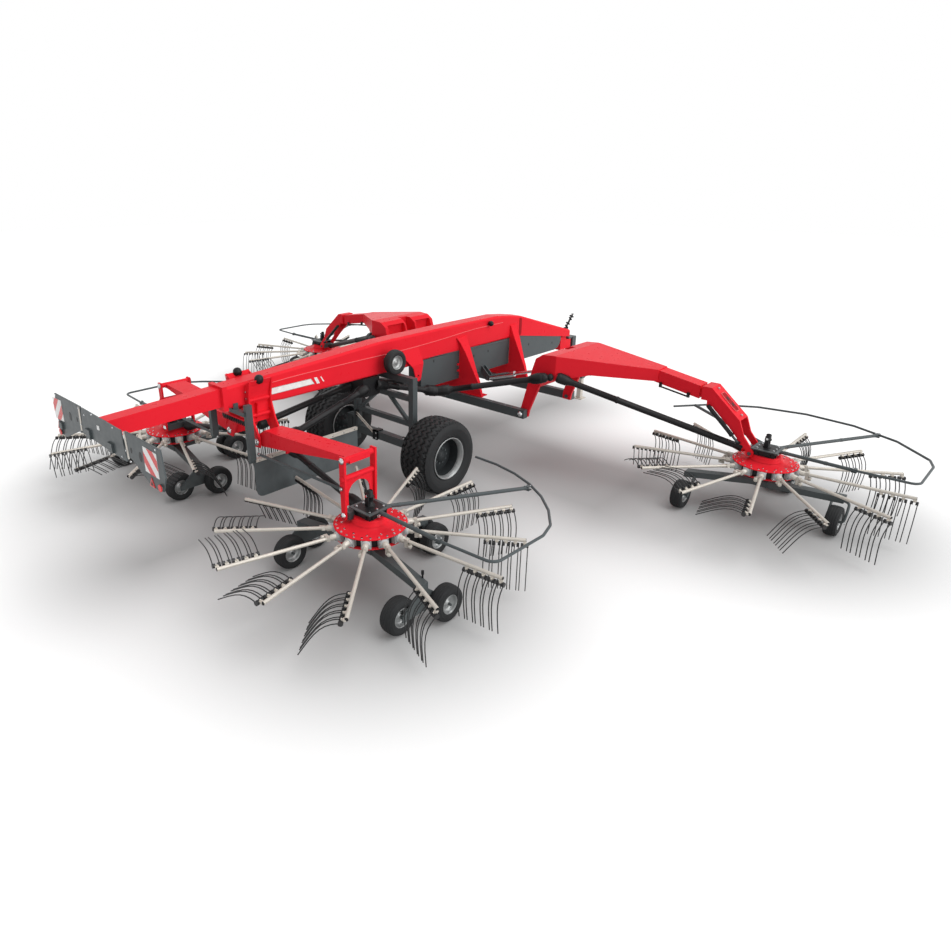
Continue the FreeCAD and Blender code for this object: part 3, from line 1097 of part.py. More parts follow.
def make_rear_carriers():
    """The rear rotors' heads and undercarriages: two tandem rockers and a front twin castor arm."""
    hub_x = "rear_hub_x"
    hub_y = "rear_hub_y"
    low = "chassis_z - chassis_depth / 2"
    pieces = head_pieces("rear")
    pieces.append(box("RearHubBlock", (hub_x + " - 100", hub_y + " - 100", low), ("200", "200",
        "chassis_depth")))
    pieces.append(box("RearTwinArm", (hub_x + " + 60", hub_y + " - 35", low), ("twin_x - 110", "70",
        "chassis_depth")))
    pieces.append(outline_body("RearTwinLeg", "XZ_Plane", [
        (hub_x + " + twin_x - 120", "chassis_z"), (hub_x + " + twin_x - 30", "chassis_z"),
        (hub_x + " + twin_x + 25", "castor_radius"), (hub_x + " + twin_x - 25", "castor_radius - 25")],
        "-(rear_hub_y + 20)", "40"))
    pieces.append(cylinder("RearTwinAxle", (hub_x + " + twin_x", hub_y + " - twin_gap / 2 - castor_width",
        "castor_radius"),
                           "Y", "castor_axle", "twin_gap + 2 * castor_width"))
    rocker = "(tandem_rear_y + tandem_front_y) / 2"
    for tag, side in (("In", -1), ("Out", 1)):
        middle = "%d * %s" % (side, rocker)
        pieces.append(outline_body("TandemBeam" + tag, "XY_Plane", [
            (hub_x + " + 60", hub_y + " + %d * 80" % side), (hub_x + " - 140",
            hub_y + " + %d * (%s + 12)" % (side, rocker)),
            (hub_x + " - 260", hub_y + " + %d * (%s + 12)" % (side, rocker)), (hub_x + " - 90",
            hub_y + " + %d * 80" % side)],
            low, "chassis_depth"))
        edge = hub_y + " + " + middle + " - rocker_wall / 2"
        pieces.append(outline_body("Rocker" + tag, "XZ_Plane", [
            (hub_x + " + tandem_rear_x - 30", "castor_radius - 30"), (hub_x + " + tandem_front_x + 30",
            "castor_radius - 30"),
            (hub_x + " + tandem_front_x + 30", "castor_radius + 30"), (hub_x + " - 130", low),
            (hub_x + " - 270", low),
            (hub_x + " + tandem_rear_x - 30", "castor_radius + 30")],
            "-(" + hub_y + " + " + middle + " + rocker_wall / 2)", "rocker_wall"))
        rear_pin = ("%d * tandem_rear_y" % side, "%d * tandem_front_y" % side)
        low_y = hub_y + " + " + (rear_pin[0] + " - castor_width / 2" if side > 0 else middle)
        span = rocker + " - tandem_rear_y + castor_width / 2"
        pieces.append(cylinder("TandemRearPin" + tag, (hub_x + " + tandem_rear_x", low_y,
            "castor_radius"), "Y", "castor_axle", span))
        low_y = hub_y + " + " + (middle if side > 0 else rear_pin[1] + " - castor_width / 2")
        pieces.append(cylinder("TandemFrontPin" + tag, (hub_x + " + tandem_front_x", low_y,
            "castor_radius"), "Y", "castor_axle", span))
        pieces.append(box("TandemBlock" + tag, (hub_x + " - 230", edge, low), ("60", "rocker_wall",
            "chassis_depth / 2")))
    finish_pair(fused("CarrierRear", pieces), "carrier_rear")


def make_front_carriers():
    """The front rotors' heads and undercarriages: a slanted beam with two castors and a twin castor arm."""
    hub_x = "front_hub_x"
    hub_y = "front_hub_y"
    low = "chassis_z - chassis_depth / 2"
    pieces = head_pieces("front")
    pieces.append(cylinder("FrontInput", (hub_x, hub_y + " - pin_offset - 72", "pin_z"), "Y", "22", "40"))
    pieces.append(box("FrontHubBlock", (hub_x + " - 110", hub_y + " - 100", low), ("220", "200",
        "chassis_depth")))
    pieces.append(box("FrontTwinArm", (hub_x + " + 60", hub_y + " - 35", low), ("twin_x - 110", "70",
        "chassis_depth")))
    pieces.append(outline_body("FrontTwinLeg", "XZ_Plane", [
        (hub_x + " + twin_x - 120", "chassis_z"), (hub_x + " + twin_x - 30", "chassis_z"),
        (hub_x + " + twin_x + 25", "castor_radius"), (hub_x + " + twin_x - 25", "castor_radius - 25")],
        "-(front_hub_y + 20)", "40"))
    pieces.append(cylinder("FrontTwinAxle", (hub_x + " + twin_x",
        hub_y + " - twin_gap / 2 - castor_width", "castor_radius"),
                           "Y", "castor_axle", "twin_gap + 2 * castor_width"))
    wheels = (("In", -1, "side_in_x", "side_in_y"), ("Out", 1, "side_out_x", "side_out_y"))
    for tag, side, wheel_x, wheel_y in wheels:
        pieces.append(outline_body("SideBeam" + tag, "XY_Plane", [
            (hub_x + " + 40", hub_y + " + %d * 70" % side), (hub_x + " + %s + 250" % wheel_x,
            hub_y + " + %d * (%s + 40)" % (side, wheel_y)),
            (hub_x + " + %s + 120" % wheel_x, hub_y + " + %d * (%s + 40)" % (side, wheel_y)),
            (hub_x + " - 100", hub_y + " + %d * 70" % side)],
            low, "chassis_depth"))
        inner = "%d * (%s - castor_width / 2 - 22)" % (side, wheel_y)
        edge = hub_y + " + " + inner + (" + 16" if side > 0 else "")
        pieces.append(outline_body("SideLeg" + tag, "XZ_Plane", [
            (hub_x + " + %s - 25" % wheel_x, "castor_radius - 25"), (hub_x + " + %s + 30" % wheel_x,
            "castor_radius - 20"),
            (hub_x + " + %s + 240" % wheel_x, low + " + 30"), (hub_x + " + %s + 120" % wheel_x,
            low + " + 30")],
            "-(" + edge + ")", "16"))
        low_y = hub_y + " + " + (inner if side > 0 else "-%s - castor_width / 2" % wheel_y)
        pieces.append(cylinder("SidePin" + tag, (hub_x + " + " + wheel_x, low_y, "castor_radius"), "Y",
            "castor_axle",
                               "castor_width + 22"))
    finish_pair(fused("CarrierFront", pieces), "carrier_front")


def make_castors():
    """All castor wheels: four single ones on a rear rotor, two on a front rotor and a twin on each."""
    radius = size("castor_radius")
    width = size("castor_width")
    bore = size("castor_axle + fit")
    singles = [
        ("rear", "castor_rear_in_back", "tandem_rear_x", "-tandem_rear_y"),
        ("rear", "castor_rear_in_ahead", "tandem_front_x", "-tandem_front_y"),
        ("rear", "castor_rear_out_back", "tandem_rear_x", "tandem_rear_y"),
        ("rear", "castor_rear_out_ahead", "tandem_front_x", "tandem_front_y"),
        ("front", "castor_front_in", "side_in_x", "-side_in_y"),
        ("front", "castor_front_out", "side_out_x", "side_out_y")]
    for end, stem, along, across in singles:
        centre = vec(end + "_hub_x + " + along, end + "_hub_y + " + across, "castor_radius")
        shape = wheel_shape(centre, radius, width, radius * 0.5, bore)
        finish_pair(free_shape(stem.title().replace("_", ""), shape), stem)
    for end in ("front", "rear"):
        offset = size("(twin_gap + castor_width) / 2")
        centre = vec(end + "_hub_x + twin_x", end + "_hub_y", "castor_radius")
        near = wheel_shape(centre - FreeCAD.Vector(0, offset, 0), radius, width, radius * 0.5, bore)
        far = wheel_shape(centre + FreeCAD.Vector(0, offset, 0), radius, width, radius * 0.5, bore)
        finish_pair(free_shape("Twin" + end.title(), Part.makeCompound([near, far])), "castor_twin_" + end)


def make_guards():
    """The tubular guard hoops over the leading halves of the rotors, with their carrier bars."""
    height = size("guard_z")
    radius = size("guard_radius")
    side = size("guard_side")
    for end, stem in (("front", "guard_front"), ("rear", "guard_rear")):
        first = {"front": -62, "rear": -3}[end]
        bearings = [first + (58 - first) * i / 6 for i in range(7)]
        hoop = [FreeCAD.Vector(radius * math.cos(math.radians(b)), radius * math.sin(math.radians(b)),
            height) for b in bearings]
        spots = [vec(-20, 950, height), vec(20, side, height), vec(760, side + 20, height)] + hoop[::-1]
        tube = bent_tube(spots, 110, size("guard_tube"))
        thick = size("guard_bar")
        top = size("head_top")
        edge = size("head_half") + 40
        plate = Part.makeBox(2 * edge, 2 * edge, 12, FreeCAD.Vector(-edge, -edge, top))
        bars = [rod(vec(0, 150, height), vec(-15, 1000, height), thick), rod(vec(150, 100, height),
            vec(1560, 905, height), thick)]
        if end == "front":
            bars.append(rod(vec(150, -100, height), vec(1150, -1430, height), thick))
        hole = Part.makeCylinder(size("crank") + 1, 40, FreeCAD.Vector(20, -20, top - 10))
        shape = plate.multiFuse([tube] + bars).cut(hole)
        shape = moved(shape, vec(end + "_hub_x", end + "_hub_y", 0))
        finish_pair(free_shape(stem.title().replace("_", ""), shape), stem)


def write_parts():
    """Check every object and write each sub-part to its own file."""
    doc.recompute()
    for item in doc.Objects:
        if "Invalid" in item.State or "Error" in item.State:
            raise RuntimeError("failed object: " + item.Name)
    os.makedirs("parts", exist_ok=True)
    for piece in FINISHED:
        if piece.Shape.isNull() or not piece.Shape.isValid():
            raise RuntimeError("bad shape: " + piece.Label)
        piece.Shape.exportStep("parts/" + piece.Label + ".step")
        print(piece.Label, len(piece.Shape.Solids), round(piece.Shape.Volume / 1e6, 2))


fill_sheet()
make_main_beam()
make_channel()
make_gussets()
make_cross_beams()
make_portal()
make_knuckles()
make_main_wheels()
make_light_board()
make_curtain()
make_rear_brackets()
make_spare_wheel()
make_drive_line()
make_headstock()
make_jack()
make_front_arms()
make_front_sliders()
make_lift_cylinders()
make_rear_arms()
make_rotors()
make_rear_carriers()
make_front_carriers()
make_castors()
make_guards()
write_parts()
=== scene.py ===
"""Looks of a four-rotor rotary rake: its finishes, tyres, tined rotors and small hardware."""
import json
import math
import bpy
import numpy as np
from bpy.props import FloatProperty, FloatVectorProperty, IntProperty, PointerProperty
from mathutils import Matrix, Vector


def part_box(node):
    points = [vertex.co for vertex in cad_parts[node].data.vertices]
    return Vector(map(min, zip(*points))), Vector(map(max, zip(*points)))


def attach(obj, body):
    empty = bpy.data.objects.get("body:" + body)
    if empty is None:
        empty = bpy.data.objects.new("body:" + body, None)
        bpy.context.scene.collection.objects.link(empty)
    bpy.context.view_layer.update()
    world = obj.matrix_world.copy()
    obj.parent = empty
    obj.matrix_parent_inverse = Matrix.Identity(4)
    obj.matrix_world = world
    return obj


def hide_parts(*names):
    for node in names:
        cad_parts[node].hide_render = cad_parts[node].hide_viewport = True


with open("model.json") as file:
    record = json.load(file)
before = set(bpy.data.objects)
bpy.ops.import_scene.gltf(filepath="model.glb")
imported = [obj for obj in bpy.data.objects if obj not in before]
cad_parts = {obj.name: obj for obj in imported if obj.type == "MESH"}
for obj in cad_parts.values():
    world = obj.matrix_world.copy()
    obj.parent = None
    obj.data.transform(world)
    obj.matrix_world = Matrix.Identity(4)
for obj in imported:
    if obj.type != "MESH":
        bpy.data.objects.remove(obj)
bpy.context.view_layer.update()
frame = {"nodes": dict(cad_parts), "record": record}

bl_info = {
    "name": "Rotary rake dressing",
    "version": (1, 0, 0),
    "blender": (4, 5, 0),
    "location": "View3D > Sidebar > Rake",
    "description": "Dresses the frame of a four-rotor rotary rake with its finishes and fine parts",
    "category": "Object",
}

NODES = sorted(frame["nodes"])
BODIES = frame["record"]["behaviour"]["bodies"]
SIDES = (("left", False), ("right", True))     # each side, and whether its pieces are mirror images


def body_of(node):
    """Name of the body that holds a frame node."""
    return next(body for body, nodes in BODIES.items() if node in nodes)


def middle_of(node):
    """Centre of a frame node's box."""
    low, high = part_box(node)
    return (np.array(low) + np.array(high)) / 2


# Fixed places along the machine are given from a station that lies 20 mm ahead of the main axle.
STATION_AHEAD = 0.020
STATION = np.array([middle_of("main_wheel_left")[0] + STATION_AHEAD, 0.0, 0.0])


# ---------------------------------------------------------------- sizes and colours

COLOUR = {"size": 3, "subtype": "COLOR", "min": 0, "max": 1}


class RakeColours(bpy.types.PropertyGroup):
    """Colours of the rake's finishes."""
    red: FloatVectorProperty(name="Red paint", description="Colour of the painted frame and arms",
                             default=(0.80, 0.019, 0.033), **COLOUR)
    grey: FloatVectorProperty(name="Dark grey paint", description="Colour of the chassis and undercarriages",
                              default=(0.074, 0.087, 0.091), **COLOUR)
    zinc: FloatVectorProperty(name="Zinc", description="Colour of the galvanised tine arms",
                              default=(0.60, 0.56, 0.50), **COLOUR)
    rubber: FloatVectorProperty(name="Tyre rubber", description="Colour of the tyres",
                                default=(0.020, 0.021, 0.022), **COLOUR)
    rim: FloatVectorProperty(name="Rim silver", description="Colour of the wheel rims",
                             default=(0.34, 0.35, 0.35), **COLOUR)
    black: FloatVectorProperty(name="Black plastic and painted shade", description="Colour of guards, buffers and hoses",
                               default=(0.012, 0.012, 0.013), **COLOUR)
    tine: FloatVectorProperty(name="Tine steel", description="Colour of the coated spring tines",
                              default=(0.016, 0.016, 0.017), **COLOUR)


class RakeSizes(bpy.types.PropertyGroup):
    """Sizes of the fine parts."""
    tread_depth: FloatProperty(name="Tread depth", description="Depth of the main tyres' grooves",
                               default=0.022, unit="LENGTH", min=0.0, max=0.04)
    tine_wire: FloatProperty(name="Tine wire", description="Diameter of a tine",
                             default=0.0115, unit="LENGTH", min=0.004, max=0.02)
    tine_drop: FloatProperty(name="Tine drop", description="Reach of a tine below its arm",
                             default=0.552, unit="LENGTH", min=0.3, max=0.60)
    twin_gap: FloatProperty(name="Twin wheel gap", description="Gap between the tyres of a twin castor",
                            default=0.060, unit="LENGTH", min=0.005, max=0.1)
    spare_width: FloatProperty(name="Spare wheel width", description="Width of the spare wheel's tyre",
                               default=0.120, unit="LENGTH", min=0.05, max=0.3)
    wheel_steps: IntProperty(name="Wheel steps", description="Facets round a main tyre",
                             default=336, min=96, max=480)


# ---------------------------------------------------------------- shader writing

class Socket:
    """An output socket on which Python's operators add Math nodes."""

    def __init__(self, paint, link):
        self.paint = paint
        self.link = link

    def math(self, operation, other=None, swap=False):
        """Add one Math node on this socket and another value."""
        pair = [self] if other is None else ([other, self] if swap else [self, other])
        return self.paint.node("ShaderNodeMath", {"operation": operation}, dict(enumerate(pair)))

    def __add__(self, other):
        return self.math("ADD", other)

    __radd__ = __add__

    def __sub__(self, other):
        return self.math("SUBTRACT", other)

    def __rsub__(self, other):
        return self.math("SUBTRACT", other, swap=True)

    def __mul__(self, other):
        return self.math("MULTIPLY", other)

    __rmul__ = __mul__

    def __abs__(self):
        return self.math("ABSOLUTE")


class Paint:
    """A material, or a world, under construction."""

    def __init__(self, name, store="materials"):
        self.made = getattr(bpy.data, store).new(name)
        self.made.use_nodes = True
        self.tree = self.made.node_tree
        self.tree.nodes.clear()
        self.place = self.node("ShaderNodeTexCoord", {}, {}, "Object")

    def node(self, kind, settings, inputs, output=0):
        """Add a node, set it up, then give its sockets values or links, and return one output."""
        new = self.tree.nodes.new(kind)
        for key, value in settings.items():
            setattr(new, key, value)
        for key, value in inputs.items():
            if isinstance(value, Socket):
                self.tree.links.new(value.link, new.inputs[key])
            else:
                new.inputs[key].default_value = value
        return Socket(self, new.outputs[output]) if new.outputs else None

    def along(self, axis):
        """The place along X, Y or Z in the object's own metres."""
        return self.node("ShaderNodeSeparateXYZ", {}, {"Vector": self.place}, axis)

    def noise(self, scale, detail=3.0):
        """Fractal noise between 0 and 1 in the object's own metres."""
        return self.node("ShaderNodeTexNoise", {}, {"Vector": self.place, "Scale": scale, "Detail": detail}, "Fac")

    def range(self, value, low, high, to_low, to_high, curve="LINEAR"):
        """Carry a value from one range to another and stop at its ends."""
        return self.node("ShaderNodeMapRange", {"clamp": True, "interpolation_type": curve},
                         {0: value, 1: low, 2: high, 3: to_low, 4: to_high})

    def mix(self, share, first, second):
        """Mix two colours, each a socket or an RGB triple."""
        sides = [side if isinstance(side, Socket) else (*side, 1.0) for side in (first, second)]
        return self.node("ShaderNodeMix", {"data_type": "RGBA"}, {0: share, 6: sides[0], 7: sides[1]}, 2)

    def bump(self, height, strength, distance):
        """Turn a height into a normal."""
        return self.node("ShaderNodeBump", {}, {"Strength": strength, "Distance": distance, "Height": height},
                         "Normal")

    def seen(self):
        """1 for rays from the camera and from reflections, and 0 for those that carry light."""
        camera, glossy = (self.node("ShaderNodeLightPath", {}, {}, "Is %s Ray" % kind) for kind in ("Camera", "Glossy"))
        return camera.math("MAXIMUM", glossy)

    def finish(self, **inputs):
        """Feed the surface shader, given its sockets by name with underscores for spaces."""
        named = {key.replace("_", " "): value for key, value in inputs.items()}
        shader = self.node("ShaderNodeBsdfPrincipled", {}, named, "BSDF")
        self.node("ShaderNodeOutputMaterial", {}, {"Surface": shader})
        return self.made


def tone(colour, factor):
    """A colour made lighter or darker."""
    return tuple(min(1.0, channel * factor) for channel in colour)


DUST = (0.30, 0.27, 0.23)
DUST_TOP, DUST_FULL = 0.9, 0.1     # heights above the floor between which dust settles on enamel


def painted(name, colour, gloss, coat, shine):
    """Sprayed enamel: faint cloudiness, orange peel and a film of dust that settles low down."""
    paint = Paint(name)
    dust = paint.range(paint.along("Z"), DUST_TOP, DUST_FULL, 0.0, 0.10) * paint.noise(9.0, 6.0)
    shade = paint.mix(paint.noise(1.6, 4.0), tone(colour, 0.94), tone(colour, 1.05))
    rough = paint.range(paint.noise(14.0, 3.0), 0.3, 0.7, gloss - 0.04, gloss + 0.07) + dust
    return paint.finish(Base_Color=paint.mix(dust, shade, DUST), Roughness=rough, Coat_Weight=coat,
                        Normal=paint.bump(paint.noise(240.0, 2.0), 0.008, 0.0005), Coat_Roughness=0.10,
                        Specular_IOR_Level=shine)


def galvanised(name, colour):
    """Hot-dip zinc: angular spangles that differ in tone, and a dull sheen."""
    paint = Paint(name)
    spangle = paint.node("ShaderNodeTexVoronoi", {"feature": "F1"}, {"Vector": paint.place, "Scale": 130.0}, "Color")
    grey = paint.node("ShaderNodeRGBToBW", {}, {0: spangle})
    shade = paint.mix(grey * 0.5 + paint.noise(6.0) * 0.5, tone(colour, 0.80), tone(colour, 1.12))
    return paint.finish(Base_Color=shade, Roughness=paint.range(grey, 0.0, 1.0, 0.38, 0.55), Metallic=0.35,
                        Normal=paint.bump(grey, 0.05, 0.001))


def rubber(name, colour, grain=90.0):
    """Tyre rubber: matt, finely grained and greyer where dust has been rubbed in."""
    paint = Paint(name)
    dust = paint.range(paint.noise(5.0, 5.0), 0.35, 0.75, 0.0, 0.22)
    return paint.finish(Base_Color=paint.mix(dust, colour, tone(colour, 2.2)),
                        Roughness=paint.range(dust, 0.0, 0.35, 0.55, 0.75),
                        Normal=paint.bump(paint.noise(grain, 3.0), 0.12, 0.002), Specular_IOR_Level=0.22)


def satin(name, colour, metal=0.0, gloss=0.4, grain=60.0, shine=0.5):
    """A satin finish with slight mottling, for plastic, coated steel and castings."""
    paint = Paint(name)
    mottle = paint.noise(grain, 4.0)
    return paint.finish(Base_Color=paint.mix(mottle, tone(colour, 0.8), tone(colour, 1.25)),
                        Roughness=paint.range(mottle, 0.2, 0.8, gloss - 0.06, gloss + 0.08), Metallic=metal,
                        Normal=paint.bump(mottle, 0.1, 0.001), Specular_IOR_Level=shine)


def all_finishes(colours):
    """Make every finish once and return them by key."""
    return {
        "red": painted("Red enamel", tuple(colours.red), 0.30, 0.0, 0.05),
        # Pale red standing for painted highlights along the beam's fold line and round the fork panel's rim.
        "edge": painted("Red painted highlight", (0.84, 0.15, 0.16), 0.34, 0.0, 0.05),
        # Deep red standing for painted shade in the fork panel's recess and in the beam's groove.
        "shade": painted("Deep red painted shade", (0.34, 0.008, 0.014), 0.40, 0.0, 0.05),
        "grey": painted("Dark grey enamel", tuple(colours.grey), 0.38, 0.10, 0.16),
        "zinc": galvanised("Hot-dip zinc", tuple(colours.zinc)),
        "rubber": rubber("Tyre rubber", tuple(colours.rubber)),
        "rim": satin("Rim silver", tuple(colours.rim), 0.5, 0.36, 30.0),
        # Black for plastic parts, and also for painted shade in the gaps between the rotor hubs' castings.
        "black": satin("Black plastic and painted shade", tuple(colours.black), 0.0, 0.42, 60.0, 0.22),
        # Near black standing for painted shade in the well and the dish of the main wheels' rims.
        "well": satin("Rim well painted shade", (0.030, 0.034, 0.036), 0.0, 0.50, 30.0, 0.20),
        "tine": satin("Coated spring steel", tuple(colours.tine), 0.2, 0.34, 40.0),
        "chrome": satin("Bright steel", (0.60, 0.61, 0.62), 1.0, 0.2, 20.0),
        "cast": satin("Bare casting", (0.44, 0.45, 0.45), 0.15, 0.55, 140.0),
        "white": satin("White film", (0.80, 0.80, 0.79), 0.0, 0.35, 20.0),
        "signal": satin("Red film", (0.66, 0.012, 0.014), 0.0, 0.30, 20.0),
        "amber": satin("Amber lens", (0.85, 0.26, 0.012), 0.0, 0.12, 20.0),
        "curtain": rubber("Curtain rubber", (0.085, 0.097, 0.101), 300.0),
    }


FINISHES = {}     # key of each finish, and the name of its material once it is made
NODE_FINISHES = (
    (("main_beam", "gussets", "front_arm", "front_slider", "rear_arm", "rear_brackets"), "red"),
    (("castor", "main_wheel", "spare"), "rubber"),
    (("rotor", "jack_leg"), "zinc"),
    (("lift",), "chrome"),
    (("drive",), "black"),
    (("swath",), "curtain"),
    (("",), "grey"),
)


class RAKE_OT_finishes(bpy.types.Operator):
    """Make the finishes and give each frame node its own"""
    bl_idname = "rake.finishes"
    bl_label = "Finishes"

    def execute(self, context):
        for key, material in all_finishes(context.scene.rake_colours).items():
            FINISHES[key] = material.name
        for node in NODES:
            finish = next(finish for stems, finish in NODE_FINISHES if node.startswith(stems))
            mesh = bpy.data.objects[node].data
            mesh.materials.clear()
            mesh.materials.append(bpy.data.materials[FINISHES[finish]])
        return {"FINISHED"}


# ---------------------------------------------------------------- shapes

def spin(points, bearing, axis=2):
    """Turn points about X, Y or Z by a bearing in radians, whole arrays at once."""
    first, second = ((1, 2), (2, 0), (0, 1))[axis]
    turned = np.array(points, dtype=float)
    a, b = turned[..., first].copy(), turned[..., second].copy()
    turned[..., first] = a * math.cos(bearing) - b * math.sin(bearing)
    turned[..., second] = a * math.sin(bearing) + b * math.cos(bearing)
    return turned


def round_turn(steps):
    """Bearings that divide a full turn evenly."""
    return np.arange(steps) / steps * math.tau


def sweep_frames(path):
    """Two unit vectors across a path at each of its points, kept from twisting along it."""
    along = np.gradient(path, axis=0)
    along /= np.linalg.norm(along, axis=1)[:, None]
    helper = np.array([0.0, 0.0, 1.0]) if abs(along[0][2]) < 0.9 else np.array([1.0, 0.0, 0.0])
    first = np.zeros_like(path)
    for i, way in enumerate(along):
        side = helper - way * helper.dot(way)
        first[i] = helper = side / np.linalg.norm(side)
    return first, np.cross(along, first)


def rounded_path(corners, bend, steps=5):
    """A path through corners, each inner one a parabola.

    It weighs the start, the corner and the end by the squares and twice the product of the share
    that is left and the share that is done. It starts one bend away, or at 45% of a short run.
    """
    corners = [np.array(corner, dtype=float) for corner in corners]
    path = [corners[0]]
    share = np.linspace(0.0, 1.0, steps)[:, None]
    for before, here, after in zip(corners, corners[1:], corners[2:]):
        back, ahead = np.linalg.norm(before - here), np.linalg.norm(after - here)
        reach = min(bend, back * 0.45, ahead * 0.45)
        start, end = here + (before - here) / back * reach, here + (after - here) / ahead * reach
        path.extend((1 - share) ** 2 * start + 2 * share * (1 - share) * here + share ** 2 * end)
    path.append(corners[-1])
    return np.array(path)


class Shape:
    """Points, faces and finishes of one piece while it is put together, about an origin of its own."""

    def __init__(self, origin=(0.0, 0.0, 0.0)):
        self.origin = np.array(origin)
        self.points = []
        self.faces = []
        self.marks = []
        self.count = 0

    def add(self, points, faces, marks):
        """Take in points and faces, with each face's finish and whether it is smooth."""
        points = np.asarray(points, dtype=float).reshape(-1, 3) + self.origin
        self.points.append(points)
        self.faces += [[corner + self.count for corner in face] for face in faces]
        self.marks += marks
        self.count += len(points)

    def grid(self, surface, finish, closed=(False, False), smooth=True):
        """Take in a surface given as rows and columns of points; it faces along columns times rows."""
        rows, columns = surface.shape[:2]
        row = np.arange(rows if closed[0] else rows - 1)
        column = np.arange(columns if closed[1] else columns - 1)
        i, j = np.meshgrid(row, column, indexing="ij")
        down, right = (i + 1) % rows, (j + 1) % columns
        faces = np.stack([i * columns + j, i * columns + right, down * columns + right, down * columns + j], -1)
        faces = faces.reshape(-1, 4).tolist()
        self.add(surface, faces, [(finish, smooth)] * len(faces))

    def tube(self, path, radius, finish, sides=8, caps=True):
        """Sweep a circle along a path; the radius may change from point to point.

        A point is the path's, plus the radius times the cosine and the sine of the bearing along the
        two vectors across the path.
        """
        path = np.asarray(path, dtype=float)
        first, second = sweep_frames(path)
        turn = round_turn(sides)[:, None]
        radius = np.broadcast_to(np.asarray(radius, dtype=float), (len(path),))[:, None, None]
        surface = path[:, None] + (first[:, None] * np.cos(turn) + second[:, None] * np.sin(turn)) * radius
        self.grid(surface, finish, (False, True))
        if caps:
            ends = np.concatenate([surface[0][::-1], surface[-1]])
            self.add(ends, [list(range(sides)), list(range(sides, 2 * sides))], [(finish, False)] * 2)

    def lathe(self, centre, axis, profile, finish, steps=40, smooth=True, way=0):
        """Turn a profile of (along, radius) pairs about X, Y or Z through a centre.

        Across the axis a point is the radius times the cosine and the sine of the bearing. A surface
        faces away from what it encloses, or along the axis in the way that is given.
        """
        profile = np.asarray(profile, dtype=float)
        turn = round_turn(steps)
        surface = np.zeros((len(profile), steps, 3))
        surface[..., axis] = profile[:, :1]
        surface[..., (axis + 1) % 3] = profile[:, 1:] * np.cos(turn)
        surface[..., (axis + 2) % 3] = profile[:, 1:] * np.sin(turn)
        enclosed = np.sum((profile[1:, 1] + profile[:-1, 1]) ** 2 * np.diff(profile[:, 0]))
        if (way or enclosed) < 0:
            surface = surface[::-1]
        self.grid(surface + np.asarray(centre), finish, (False, True), smooth)

    def prism(self, outline, offset, finish):
        """Extrude a closed outline of 3-D points by an offset, all faces outwards."""
        outline, offset = np.asarray(outline, dtype=float), np.asarray(offset, dtype=float)
        if np.cross(outline - outline[0], np.roll(outline, -1, 0) - outline[0]).sum(0).dot(offset) < 0:
            outline = outline[::-1]
        count = len(outline)
        faces = [list(range(count))[::-1], list(range(count, 2 * count))]
        faces += [[i, (i + 1) % count, (i + 1) % count + count, i + count] for i in range(count)]
        self.add(np.concatenate([outline, outline + offset]), faces, [(finish, False)] * len(faces))

    def plate(self, axis, level, corners, thick, finish):
        """A plate across X, Y or Z at a level, from pairs of its other two coordinates in order."""
        offset = np.zeros(3)
        offset[axis] = thick
        self.prism(np.insert(np.asarray(corners, dtype=float), axis, level, 1), offset, finish)

    def block(self, low, high, finish):
        """A box between two corners."""
        (x0, y0, z0), (x1, y1, z1) = low, high
        self.plate(2, z0, [(x0, y0), (x1, y0), (x1, y1), (x0, y1)], z1 - z0, finish)

    def brick(self, centre, half, finish):
        """A box about a centre, given its half sizes."""
        self.block(np.array(centre) - half, np.array(centre) + half, finish)

    def bolt(self, place, way, radius, finish="chrome"):
        """A hexagon head with its washer, standing on a face whose outward direction is given."""
        way = np.asarray(way, dtype=float) / np.linalg.norm(way)
        self.tube([place - way * 0.002, place + way * radius * 0.25], radius * 1.25, finish, 10)
        self.tube([place, place + way * radius * 0.9], radius, finish, 6)

    def pin_cap(self, centre, way, steps, wide, slim, finish="chrome", sides=24):
        """A pin's end along X: a collar and a slimmer head, with where each of its three steps lies."""
        collar, neck, end = steps
        profile = [(0, wide), (collar, wide), (neck, slim), (end, slim - 0.001), (end, 0)]
        self.lathe(centre, 0, np.array(profile) * (way, 1), finish, sides)

    def carried(self, move):
        """Put every point through a function of the whole array."""
        self.points = [move(points) for points in self.points]
        return self

    def joined(self, other):
        """Take in another shape."""
        self.add(np.concatenate(other.points), other.faces, other.marks)

    def piece(self, name, body, node=None, mirrored=False):
        """Turn the shape into an object that rides on a body and may stand for a frame node."""
        points, faces = np.concatenate(self.points), self.faces
        if mirrored:
            points = points * (1.0, -1.0, 1.0)
            faces = [face[::-1] for face in faces]
        mesh = bpy.data.meshes.new(name)
        mesh.from_pydata(points.tolist(), [], faces)
        used = sorted({finish for finish, _ in self.marks})
        for finish in used:
            mesh.materials.append(bpy.data.materials[FINISHES[finish]])
        mesh.polygons.foreach_set("material_index", [used.index(finish) for finish, _ in self.marks])
        mesh.polygons.foreach_set("use_smooth", [smooth for _, smooth in self.marks])
        mesh.update()
        thing = bpy.data.objects.new(name, mesh)
        bpy.context.scene.collection.objects.link(thing)
        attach(thing, body)
        if node:
            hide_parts(node)
        return thing

    def pair(self, name, body):
        """Make the left piece and its mirror image; a body whose name ends in _ has one on each side."""
        for side, mirrored in SIDES:
            self.piece(name + side, body + side if body.endswith("_") else body, None, mirrored)


# ---------------------------------------------------------------- wheels

RIBS = 5     # ribs between the grooves of a tread


